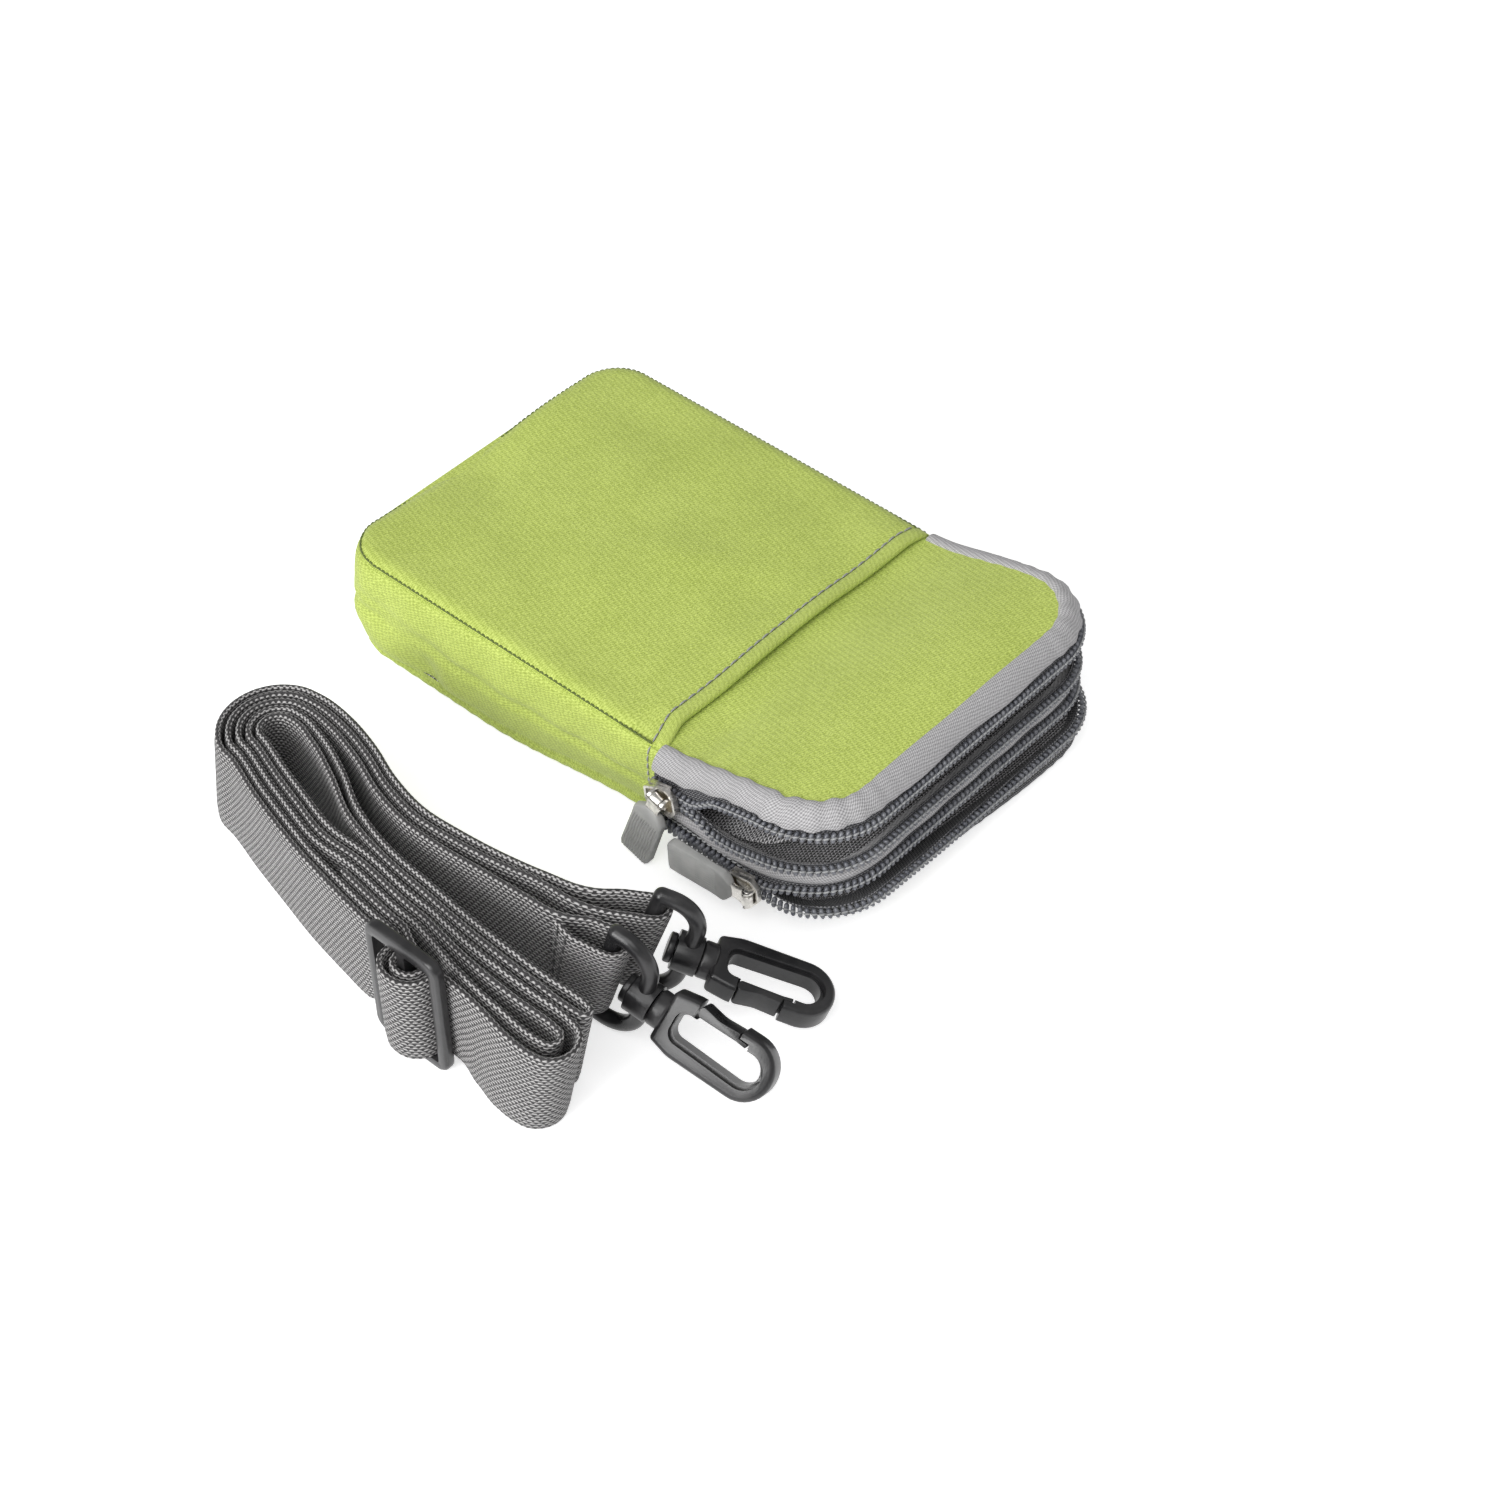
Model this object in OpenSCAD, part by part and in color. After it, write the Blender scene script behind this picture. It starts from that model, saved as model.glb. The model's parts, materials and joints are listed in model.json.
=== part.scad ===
// Two-compartment zipped phone pouch, lying on its back with both zips open,
// and its folded shoulder strap with two swivel snap hooks beside it.
// Origin: centre of the resting face. +Z up out of the front, -Y out of the mouth,
// -X towards the side where the strap lies.

/* [Pouch body] */
// Width across the two side gussets
body_w = 86; // [80:1:92]
// Length from the closed end back to the start of the zips
closed_len = 92.5; // [88:0.5:96]
// Distance from the start of the zips to the front lip
front_reach = 42.5; // [41:0.5:44]
// How much further the rear lip reaches out than the front lip
rear_extra = 6; // [4:0.5:8]
// Inside height of the rear compartment
rear_gap = 7.8; // [7.6:0.2:9]
// Inside height of the front compartment
front_gap = 11.6; // [11.2:0.2:13]
// Thickness of the outer fabric with its backing
fabric_t = 1.2; // [1:0.1:1.6]
// Thickness of the lining cloth
lining_t = 0.5; // [0.4:0.1:0.7]
// Radius of the two corners at the closed end
end_r = 10; // [8:1:14]
// Radius of the corners of the front lip
front_r = 13; // [12:0.5:14]
// Radius of the corners of the rear lip
rear_r = 14; // [12:1:16]
// Height of the back seam roll that the pouch stands on
seam_h = 3; // [2.8:0.1:3.4]
// Width of the back seam roll
seam_w = 3.5; // [3:0.5:5]
// Outward bulge of the side gussets
gusset_bulge = 1; // [0.6:0.1:1.6]
// Upward tilt of the front lip, in degrees
lip_tilt = 10; // [8:0.5:11]
// Upward tilt of the divider and of the zip halves on its edge, in degrees
divider_tilt = 4.5; // [4:0.5:5]

/* [Slip pocket] */
// Distance from the start of the zips back to the pocket's hem
hem_set_back = 1; // [0.5:0.5:3]
// Width of the folded hem
hem_w = 8; // [6:1:10]
// Room for cards under the pocket panel
card_gap = 0.6; // [0.5:0.1:1]
// Thickness of the pocket panel
pocket_t = 1; // [0.8:0.1:1.2]
// Width of the seam that joins the pocket to the panel under it
pocket_seam = 3; // [2:0.5:4]
// Distance of the stitch row from the folded edge
stitch_inset = 5; // [3:0.5:5.5]
// Length of one stitch
stitch_len = 2.2; // [1.8:0.1:3]
// Distance between stitch starts
stitch_pitch = 3.2; // [3.1:0.1:4]
// Width of a stitch
stitch_w = 0.5; // [0.4:0.1:0.7]

/* [Zips] */
// Width of the binding that slopes down from the front panel's edge
binding_w = 3; // [2.8:0.1:3.4]
// Drop of the binding
binding_drop = 3.4; // [3:0.1:3.6]
// Thickness of the zip tape
tape_t = 0.6; // [0.5:0.1:0.8]
// Thickness of the coil, outwards
coil_t = 1.8; // [1.5:0.1:2]
// Height of the coil, across the tape
coil_h = 2; // [1.6:0.1:2.2]
// Height of the grey band between the two zips
band_h = 3.4; // [3:0.1:3.8]
// Height of the front zip's upper tape below the binding
front_upper_tape = 2.6; // [2.4:0.1:2.8]
// Height of the front zip's lower tape above the grey band
front_lower_tape = 2.4; // [2.2:0.1:2.6]
// Height of the rear zip's upper tape below the grey band
rear_upper_tape = 2.2; // [2.1:0.1:2.3]
// Height of the rear zip's lower tape above the back panel
rear_lower_tape = 2.6; // [2.4:0.1:2.8]
// Length of the closed stretch of the rear zip
closed_zip = 24; // [23.5:0.5:24.5]

/* [Sliders and pullers] */
// Length of a slider
slider_l = 8; // [7.5:0.5:8.5]
// Height of a slider, across the zip
slider_w = 6.6; // [6:0.2:6.8]
// Thickness of a slider's plates
slider_plate_t = 0.9; // [0.8:0.1:1]
// Play between a slider's inner plate and the tape, which lets it round the corner
slider_throat = 0.7; // [0.6:0.05:0.7]
// Length of a puller's rubber grip
grip_l = 17; // [15:0.5:19]
// Width of a puller's rubber grip
grip_w = 8; // [7.5:0.5:8.5]
// Thickness of a puller's rubber grip
grip_t = 2.8; // [2.4:0.2:3]
// Width of the grip's neck as a share of its width
grip_neck = 0.62; // [0.6:0.02:0.7]
// Number of ribs across a grip
grip_ribs = 9; // [6:1:10]
// Length of a puller's metal link
link_l = 7; // [6:0.5:8]
// Thickness of a puller's metal link
link_t = 1; // [0.8:0.1:1.2]
// Length of the pin that carries a puller
pin_l = 6.4; // [6.2:0.1:6.6]
// Radius of that pin
pin_r = 0.7; // [0.6:0.05:0.8]
// Sideways lean of the hanging front puller, in degrees
puller_lean = 18; // [16:1:20]

/* [Carrying fittings] */
// Width of the belt loop
belt_loop_w = 42; // [36:1:42]
// Length of the belt loop
belt_loop_l = 70; // [60:1:76]
// Thickness of the belt loop
belt_loop_t = 1.4; // [1.2:0.1:1.5]
// Length of each sewn end of the belt loop
belt_loop_end = 5; // [4:0.5:8]
// Shift of the belt loop towards the closed end
belt_loop_shift = 8; // [6:1:9]
// Inside width of a ring on the back
d_ring_w = 12; // [11:0.5:14]
// Wire diameter of a ring on the back
d_ring_wire = 2; // [1.8:0.1:2.2]
// Distance of each ring's middle from the side of the back
d_ring_in = 14; // [13:0.5:14]
// Distance of the rings from the start of the zips, towards the mouth
d_ring_out = 26; // [22:1:28]
// Length of the tab that holds a ring
tab_l = 14; // [10:1:16]

/* [Strap webbing] */
// Width of the webbing, which stands on edge
webbing_w = 25; // [24:0.5:26]
// Thickness of the webbing
webbing_t = 1.4; // [1.3:0.05:1.5]
// Distance between neighbouring layers in the bends at the far end
layer_pitch = 2.05; // [2.05:0.01:2.1]
// Play between the webbing and the ring that it passes through
ring_play = 0.35; // [0.3:0.05:0.4]

/* [Strap adjuster] */
// Length of the adjuster along the strap
glide_l = 19; // [18:0.5:20]
// Height of the adjuster
glide_h = 30.4; // [30:0.2:32]
// Thickness of the adjuster's frame
glide_t = 2.4; // [2.2:0.1:2.6]
// Width of the adjuster's end bars
glide_rim = 2; // [1.8:0.1:2.2]
// Width of the adjuster's middle bar
glide_bar = 2; // [1.8:0.1:2.2]

/* [Snap hooks] */
// Thickness of the ring's wire
ring_wire = 3.4; // [3.2:0.1:3.6]
// Depth of the ring between wire centres
ring_depth = 9; // [8.8:0.1:9.4]
// Height of the ring between wire centres
ring_span = 26.6; // [26.4:0.1:27]
// Radius of the ring's front corners
ring_corner_r = 7; // [6:0.5:7]
// Length of the swivel housing
housing_l = 5; // [4.6:0.2:5.4]
// Radius of the swivel housing
housing_r = 4; // [3.8:0.1:4.2]
// Radius of the swivel pin
swivel_r = 1.9; // [1.7:0.1:2]
// Length of the hook's eye, outside
eye_l = 25; // [23:0.5:27]
// Width of the hook's eye, outside
eye_w = 13; // [12:0.5:14]
// Thickness of the hook
hook_t = 5.4; // [5:0.2:5.8]
// Width of the hook's sides
hook_side = 3; // [2.8:0.1:3.2]
// Thickness of the gate
gate_t = 1.8; // [1.6:0.1:2]
// Turn of the first hook on its swivel, in degrees
hook_1_roll = 50; // [-180:5:180]
// Turn of the second hook on its swivel, in degrees
hook_2_roll = 180; // [-180:5:180]

/* [Hidden] */
$fn = 48;

// Overrun of every cut
over = 1;
// Running clearance of the swivel pins and hinge pins
run_gap = 0.06;
// Clearance between soft pieces and their neighbours
soft_gap = 0.3;

// Colours
green = [0.62, 0.72, 0.27];
grey_light = [0.60, 0.61, 0.62];
grey_dark = [0.27, 0.29, 0.32];
lining_grey = [0.34, 0.35, 0.37];
webbing_grey = [0.33, 0.33, 0.34];
plastic_black = [0.07, 0.07, 0.08];
nickel = [0.75, 0.75, 0.73];
rubber_grey = [0.50, 0.51, 0.51];

// Levels, from the resting face up
back_z = seam_h;
rear_floor_z = back_z + fabric_t;
divider_z = rear_floor_z + rear_gap;
front_floor_z = divider_z + fabric_t;
front_panel_z = front_floor_z + front_gap;
front_top_z = front_panel_z + fabric_t;
pouch_top_z = front_top_z + card_gap + pocket_t;
split_z = divider_z + fabric_t / 2;
band_z = split_z - band_h / 2;

// Places along the pouch: the zips start at zip_y and the closed end is at end_y
front_lip_y = -(closed_len + front_reach) / 2;
zip_y = front_lip_y + front_reach;
end_y = zip_y + closed_len;
rear_lip_y = front_lip_y - rear_extra;
rear_reach = front_reach + rear_extra;
hem_y = zip_y + hem_set_back;
// The tilted divider's upper face starts a little higher than its flat one
lining_lift = fabric_t / cos(divider_tilt) - fabric_t;

// Places across the pouch, from its middle outwards
half_w = body_w / 2;
wall_in = half_w - fabric_t;
panel_half = half_w - fabric_t / 3;
lip_half = wall_in - tape_t / 3;
tape_u = binding_w - fabric_t + (fabric_t - tape_t) / 2;
tape_half = lip_half + tape_u;
lining_back = 2 * binding_w;

// Sliders: the plates lie outside the coils and inside the tapes
coil_out = tape_t + coil_t;
plate_out_x = coil_out + soft_gap;
plate_in_x = -slider_throat - slider_plate_t;
slider_post_r = coil_h * 0.4;
stop_l = coil_h;
bail_leg_t = slider_plate_t;
knuckle_r = 2 * pin_r;
pin_x = plate_out_x + slider_plate_t + knuckle_r + 3 * run_gap;
link_w = pin_l - 2 * bail_leg_t - 2 * soft_gap;
link_in_grip = link_l / 2;
grip_top = link_in_grip - link_l;
rib_inset = grip_w / 6;
rib_t = grip_t / 8;
front_travel_tilt = (lip_tilt + divider_tilt) / 2;
rear_travel_tilt = divider_tilt / 2;
front_bail_turn = puller_lean + front_travel_tilt;
rear_bail_turn = 90;
front_bail_shift = slider_w / 4;
rear_bail_shift = slider_l / 2 - 2 * pin_r;
front_slider_y = zip_y - slider_l / 2 - soft_gap;
front_slider_z = (front_top_z - binding_drop - front_upper_tape + band_z + band_h
    + front_lower_tape) / 2 + (zip_y - front_slider_y) * tan(front_travel_tilt);
rear_slider_y = zip_y - closed_zip - slider_l / 4;
rear_slider_z = (rear_floor_z + rear_lower_tape + band_z - rear_upper_tape) / 2
    + (zip_y - rear_slider_y) * tan(rear_travel_tilt);

// Tabs and rings on the back
tab_w = d_ring_w - 2 * soft_gap;
d_ring_x = half_w - d_ring_in;
d_ring_y = zip_y - d_ring_out;
d_ring_z = back_z / 2;

// Strap and its hank. Angles of the hooks are in degrees
bar_place = [[-84.6, -49.5], [-73.6, -49]];
bar_z = 15.4;
hook_heading = [-80.8, -60];
hook_pitch = [14, 18];
hook_roll = [hook_1_roll, hook_2_roll];
end_centre = [-87, 40];
end_bend_r = 11.8;
inner_loop_centre = [-107.6, -55.5];
inner_loop_r = 2;
outer_loop_centre = [-107.8, -56];
outer_loop_r = 5.2;
fold_centre = [-99.1, -56];
fold_r = 1.1;
glide_place = [-113, -26];
bend_steps = 8;
curve_steps = 2;
near_steps = bend_steps * curve_steps;
glide_rise = (glide_h - webbing_w) / 2;
leg_off = ring_wire / 2 + ring_play + webbing_t / 2;
leg_end = ring_wire * 1.35;
leg_l = ring_wire * 2;
sewn_l = ring_wire * 3.2;
turn_w = ring_span - ring_wire - 3 * ring_play;
turn_t = webbing_t - ring_play / 2;
strap_stitches = 8;

// Snap hooks: the swivel pin runs in the ring's housing
head_l = swivel_r * 0.8;
head_r = housing_r * 0.8;
head_x = ring_depth - housing_l / 2 - 2 * run_gap - head_l;
neck_x = ring_depth + housing_l / 2 + 2 * run_gap;
neck_l = hook_side;
neck_r = housing_r;
eye_x = neck_x + neck_l - hook_side / 3;
gate_start = eye_w * 0.45;
gate_end = eye_l * 0.62;
gate_y = eye_w / 2 - hook_side / 2;
gate_hinge_r = gate_t * 0.7;
gate_w = hook_t - 2 * soft_gap;
gate_toe_l = gate_t;
gate_toe_t = gate_t / 2;

// Plan of the closed end as a flat shape with round corners and a square front edge
module closed_plan(half, top_y, bottom_y, r) {
    square_l = top_y - bottom_y - r;
    translate([-half, bottom_y]) square([2 * half, square_l]);
    translate([-half + r, bottom_y]) square([2 * (half - r), square_l + r]);
    for (side = [-1, 1]) translate([side * (half - r), top_y - r]) circle(r);
}

// Plan with round corners at both ends
module full_plan(half, top_y, bottom_y, r_top, r_bottom) {
    mid_y = (top_y + bottom_y) / 2;
    closed_plan(half, top_y, mid_y, r_top);
    mirror([0, 1]) closed_plan(half, -bottom_y, -mid_y, r_bottom);
}

// Half of a U that starts at y = -start, turns at -reach and ends in the middle
module u_half(half, reach, r, start) {
    leg = reach - r;
    translate([half, -start, 0]) rotate([90, 0, 0]) linear_extrude(leg - start) children();
    translate([half - r, -leg, 0]) rotate([0, 0, -90])
        rotate_extrude(angle = 90) translate([r, 0]) children();
}

// Sweeps a profile (outwards, up) round the whole U; its near leg can start further on
module u_sweep(half, reach, r, near_start = 0) {
    u_half(half, reach, r, 0) children();
    mirror([1, 0, 0]) u_half(half, reach, r, near_start) children();
    translate([0, -reach, 0]) rotate([0, 0, -90]) rotate([90, 0, 0])
        linear_extrude(2 * (half - r), center = true) children();
}

// Pouch shells

module back_panel() color(green)
    translate([0, 0, back_z]) linear_extrude(fabric_t)
        full_plan(half_w, end_y, rear_lip_y, end_r, rear_r);

module back_seam() color(green)
    linear_extrude(seam_h) difference() {
        full_plan(half_w, end_y, rear_lip_y, end_r, rear_r);
        full_plan(half_w - seam_w, end_y - seam_w, rear_lip_y + seam_w, end_r - seam_w,
            rear_r - seam_w);
    }

module belt_loop() color(green)
    translate([-belt_loop_w / 2, belt_loop_shift - rear_extra / 2 - belt_loop_l / 2, 0]) {
        cube([belt_loop_w, belt_loop_l, belt_loop_t]);
        for (y = [0, belt_loop_l - belt_loop_end])
            translate([0, y, 0]) cube([belt_loop_w, belt_loop_end, back_z]);
    }

// Cross-section of a gusset: a wall with an outward bulge, the arc of a large circle
module gusset_profile(h) {
    bulge_r = (h * h / 4 + gusset_bulge * gusset_bulge) / (2 * gusset_bulge);
    translate([-fabric_t, 0]) square([fabric_t, h]);
    intersection() {
        translate([gusset_bulge - bulge_r, h / 2]) circle(bulge_r);
        square([gusset_bulge, h]);
    }
}

module gusset(z, h)
    translate([0, zip_y, z]) mirror([0, 1, 0]) u_sweep(half_w, closed_len, end_r)
        gusset_profile(h);

module rear_gusset() color(green) gusset(rear_floor_z, split_z - rear_floor_z);

module front_gusset() color(green) gusset(split_z, front_panel_z - split_z);

// A sheet in two stretches: flat over the closed part and tilted up towards the lip
module tilted_sheet(z, t, tilt, half, lip, top_y, r_top, flat_to, reach, r_lip) {
    translate([0, 0, z]) linear_extrude(t) closed_plan(half, top_y, flat_to, r_top);
    translate([0, flat_to, z]) rotate([-tilt, 0, 0]) linear_extrude(t)
        mirror([0, 1]) closed_plan(lip, reach, 0, r_lip);
}

module divider() color(lining_grey)
    tilted_sheet(divider_z, fabric_t, divider_tilt, wall_in, wall_in, end_y - fabric_t,
        end_r - fabric_t, zip_y, front_reach, front_r);

module front_panel() color(green)
    tilted_sheet(front_panel_z, fabric_t, lip_tilt, panel_half, lip_half, end_y, end_r, zip_y,
        front_reach, front_r);

module slip_pocket() color(green)
    translate([0, 0, front_top_z]) difference() {
        linear_extrude(card_gap + pocket_t) closed_plan(panel_half, end_y, hem_y + hem_w, end_r);
        translate([0, 0, -over]) linear_extrude(card_gap + over)
            closed_plan(panel_half - pocket_seam, end_y - pocket_seam, hem_y - over,
                end_r - pocket_seam);
    }

module pocket_hem() color(green)
    translate([0, hem_y, front_top_z]) difference() {
        translate([-panel_half, 0, 0]) cube([2 * panel_half, hem_w, card_gap + pocket_t]);
        translate([pocket_seam - panel_half, -over, -over])
            cube([2 * (panel_half - pocket_seam), hem_w + 2 * over, card_gap + over]);
    }

module hem_stitching() color(grey_light) {
    row = 2 * (panel_half - pocket_seam);
    count = floor(row / stitch_pitch);
    translate([-count * stitch_pitch / 2, hem_y + stitch_inset, pouch_top_z])
        for (i = [0 : count - 1])
            translate([i * stitch_pitch, 0, 0]) cube([stitch_len, stitch_w, stitch_w / 2]);
}

module rear_lining() color(lining_grey)
    translate([0, 0, rear_floor_z]) linear_extrude(lining_t)
        full_plan(wall_in - 2 * soft_gap, end_y - fabric_t - 2 * soft_gap,
            rear_lip_y + lining_back, end_r - fabric_t, rear_r);

module front_lining() color(lining_grey)
    tilted_sheet(front_floor_z + lining_lift, lining_t, divider_tilt, wall_in - 2 * soft_gap,
        wall_in - 2 * soft_gap, end_y - fabric_t - 2 * soft_gap, end_r - fabric_t, zip_y,
        front_reach - lining_back, front_r);

// Lips and zips

// Places children in a plane that tilts up from the start of the zips
module tilted_from(z, tilt) {
    translate([0, zip_y, z]) rotate([-tilt, 0, 0]) children();
}

module front_binding() color(grey_light)
    tilted_from(front_top_z, lip_tilt) u_sweep(lip_half, front_reach, front_r)
        polygon([
            [0, 0], [binding_w / 2, -binding_drop / 4], [binding_w, -binding_drop * 3 / 4],
            [binding_w, -binding_drop], [binding_w - fabric_t, -binding_drop],
            [binding_w - fabric_t, -binding_drop * 3 / 4 - fabric_t / 2],
            [0, -fabric_t]
        ]);

// Places children round the divider's edge, with the band's lower edge at z = 0
module on_divider() tilted_from(divider_z, divider_tilt)
    translate([0, 0, band_z - divider_z]) children();

// The grey band stands round the divider's edge, between the two zips
module middle_band() color(grey_light)
    on_divider()
        u_sweep(wall_in, front_reach, front_r)
            square([tape_half + tape_t - wall_in, band_h]);

// Half of a zip: its tape, and the coil on the outside of the tape's free edge.
// The free edge is the lower one when edge is -1 and the upper one when it is 1
module zip_half(reach, r, tape_w, edge, near_start)
    u_sweep(tape_half, reach, r, near_start) {
        translate([0, edge == 1 ? 0 : -tape_w]) square([tape_t, tape_w]);
        translate([tape_t, edge == 1 ? tape_w - coil_h : -tape_w]) square([coil_t, coil_h]);
    }

module front_zip_upper() color(grey_dark)
    tilted_from(front_top_z, lip_tilt) translate([0, 0, -binding_drop])
        zip_half(front_reach + tape_u, front_r + tape_u, front_upper_tape, -1, 0);

module front_zip_lower() color(grey_dark)
    on_divider() translate([0, 0, band_h])
        zip_half(front_reach + tape_u, front_r + tape_u, front_lower_tape, 1, 0);

module rear_zip_upper() color(grey_dark)
    on_divider()
        zip_half(front_reach + tape_u, front_r + tape_u, rear_upper_tape, -1, closed_zip);

module rear_zip_lower() color(grey_dark)
    translate([0, zip_y, rear_floor_z])
        zip_half(rear_reach - coil_t - tape_t, rear_r, rear_lower_tape, 1, closed_zip);

// Closed stretch on the near side, both halves meshed, under the rising band
module rear_zip_closed() color(grey_dark)
    translate([-tape_half, zip_y, rear_floor_z]) mirror([1, 0, 0]) {
        low_h = band_z - rear_floor_z;
        rise = closed_zip * tan(divider_tilt);
        translate([tape_t, 0, 0]) rotate([0, -90, 0]) linear_extrude(tape_t)
            polygon([[0, 0], [low_h, 0], [low_h + rise, -closed_zip], [0, -closed_zip]]);
        translate([tape_t, -closed_zip, (low_h - coil_h) / 2]) cube([coil_t, closed_zip, coil_h]);
    }

// Small metal stops at the far end of the two open zips
module zip_end_stops() color(nickel)
    for (z = [rear_floor_z + rear_lower_tape, band_z + band_h + front_lower_tape])
        translate([tape_half + coil_out, zip_y - stop_l, z - coil_h])
            cube([coil_t / 3, stop_l, coil_h]);

// Sliders and pullers. Each is drawn with +X outwards and the zip along Y, with the tape's
// inner face at x = 0 and the middle of the zip at z = 0

module slider_plate()
    rotate([0, 90, 0]) linear_extrude(slider_plate_t) {
        square([slider_w, slider_l - slider_w / 2], center = true);
        square([slider_w / 2, slider_l], center = true);
        for (side = [-1, 1], end = [-1, 1])
            translate([side * slider_w / 4, end * (slider_l / 2 - slider_w / 4)])
                circle(slider_w / 4);
    }

// The bail is turned about X and its pin set off from the slider's middle by shift
module slider(turn, shift) color(nickel) {
    translate([plate_out_x, 0, 0]) slider_plate();
    translate([plate_in_x, 0, 0]) slider_plate();
    translate([plate_in_x, -slider_l / 2 + 2 * slider_post_r, 0]) rotate([0, 90, 0])
        cylinder(r = slider_post_r, h = plate_out_x - plate_in_x + slider_plate_t / 2);
    rotate([turn, 0, 0]) {
        leg_x = plate_out_x + slider_plate_t / 2;
        for (side = [-1, 1])
            translate([leg_x, side * (pin_l - bail_leg_t) / 2 - bail_leg_t / 2, 0])
                cube([pin_x + 2 * pin_r - leg_x, bail_leg_t, shift + 2 * pin_r]);
        translate([pin_x, -pin_l / 2, shift]) rotate([-90, 0, 0]) cylinder(r = pin_r, h = pin_l);
    }
}

// Metal link with its knuckle round the pin along Y; it hangs towards -Z
module puller_link() color(nickel) difference() {
    union() {
        translate([0, -link_w / 2, 0]) rotate([-90, 0, 0]) cylinder(r = knuckle_r, h = link_w);
        translate([-link_t / 2, -link_w / 2, -link_l]) cube([link_t, link_w, link_l]);
    }
    translate([0, -link_w / 2 - over, 0]) rotate([-90, 0, 0])
        cylinder(r = pin_r + run_gap, h = link_w + 2 * over);
}

// Rubber grip moulded round the end of the link, with ribs across its outer face
module puller_grip() color(rubber_grey) {
    translate([0, 0, grip_top]) difference() {
        translate([-grip_t / 2, 0, 0]) rotate([0, 90, 0]) linear_extrude(grip_t) {
            translate([0, -grip_w * grip_neck / 2])
                square([grip_l - grip_w / 2, grip_w * grip_neck]);
            translate([grip_w / 2, -grip_w / 2]) square([grip_l - grip_w, grip_w]);
            translate([grip_w / 2, 0]) circle(grip_w / 2);
            translate([grip_l - grip_w / 2, 0]) circle(grip_w / 2);
        }
        translate([-link_t / 2, -link_w / 2, -link_in_grip])
            cube([link_t, link_w, link_in_grip + over]);
    }
    rib_pitch = (grip_l - grip_w) / grip_ribs;
    for (i = [0 : grip_ribs - 1])
        translate([grip_t / 2, -grip_w / 2 + rib_inset,
            grip_top - grip_w / 2 - (i + 1) * rib_pitch + rib_pitch / 4])
            cube([rib_t, grip_w - 2 * rib_inset, rib_pitch / 2]);
}

module at_front_slider() translate([-tape_half, front_slider_y, front_slider_z])
    rotate([-front_travel_tilt, 0, 0]) mirror([1, 0, 0]) children();
module at_rear_slider() translate([-tape_half, rear_slider_y, rear_slider_z])
    rotate([-rear_travel_tilt, 0, 0]) mirror([1, 0, 0]) children();
module in_front_puller() at_front_slider() rotate([front_bail_turn, 0, 0])
    translate([pin_x, 0, front_bail_shift]) children();
module in_rear_puller() at_rear_slider() rotate([rear_bail_turn, 0, 0])
    translate([pin_x, 0, rear_bail_shift]) children();

module front_slider() at_front_slider() slider(front_bail_turn, front_bail_shift);
module rear_slider() at_rear_slider() slider(rear_bail_turn, rear_bail_shift);
module front_puller_link() in_front_puller() puller_link();
module front_puller_grip() in_front_puller() puller_grip();
module rear_puller_link() in_rear_puller() puller_link();
module rear_puller_grip() in_rear_puller() puller_grip();

// Tabs and rings on the back, near the mouth

module tab(side) color(grey_dark)
    translate([side * d_ring_x - tab_w / 2, d_ring_y, d_ring_z]) rotate([0, 90, 0]) difference() {
        union() {
            cylinder(r = d_ring_z, h = tab_w);
            translate([d_ring_z - back_z, 0, 0])
                cube([back_z - d_ring_z - d_ring_wire / 2 - run_gap, tab_l, tab_w]);
        }
        translate([0, 0, -over]) cylinder(r = d_ring_wire / 2 + run_gap, h = tab_w + 2 * over);
    }
module tab_near() tab(-1);
module tab_far() tab(1);

module d_ring(side) color(plastic_black)
    translate([side * d_ring_x, d_ring_y, d_ring_z]) {
        r = (d_ring_w + d_ring_wire) / 2;
        rotate([0, 90, 0]) cylinder(r = d_ring_wire / 2, h = 2 * r, center = true);
        rotate([0, 0, 180]) rotate_extrude(angle = 180) translate([r, 0]) circle(d_ring_wire / 2);
        for (end = [-1, 1]) translate([end * r, 0, 0]) sphere(d_ring_wire / 2);
    }
module d_ring_near() d_ring(-1);
module d_ring_far() d_ring(1);

// Strap: one webbing on edge, drawn by the places of its middle line in plan

// Point beside ring k: s along the hook's heading from the ring's bar, out to its far side
function beside_bar(k, s, out) =
    let (c = cos(hook_heading[k]), n = sin(hook_heading[k]))
    [bar_place[k][0] + s * c - out * n, bar_place[k][1] + s * n + out * c];

// Bend round a centre from angle a0 to a1
function bend(centre, r, a0, a1) =
    [for (i = [0 : bend_steps]) let (a = a0 + (a1 - a0) * i / bend_steps)
        [centre[0] + r * cos(a), centre[1] + r * sin(a)]];

// Layer k of the bends at the far end, counted inwards, from the far side to the near side
function end_bend(k) = bend(end_centre, end_bend_r - k * layer_pitch, 0, 180);
function reversed(p) = [for (i = [len(p) - 1 : -1 : 0]) p[i]];

// Direction of a line at its place i, from both neighbours, the nearer one counting more
function heading_at(p, i) =
    i == 0 ? (p[1] - p[0]) / norm(p[1] - p[0])
    : i == len(p) - 1 ? (p[i] - p[i - 1]) / norm(p[i] - p[i - 1])
    : let (back = norm(p[i] - p[i - 1]), on = norm(p[i + 1] - p[i]))
        ((p[i] - p[i - 1]) * on / back + (p[i + 1] - p[i]) * back / on) / (back + on);

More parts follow.
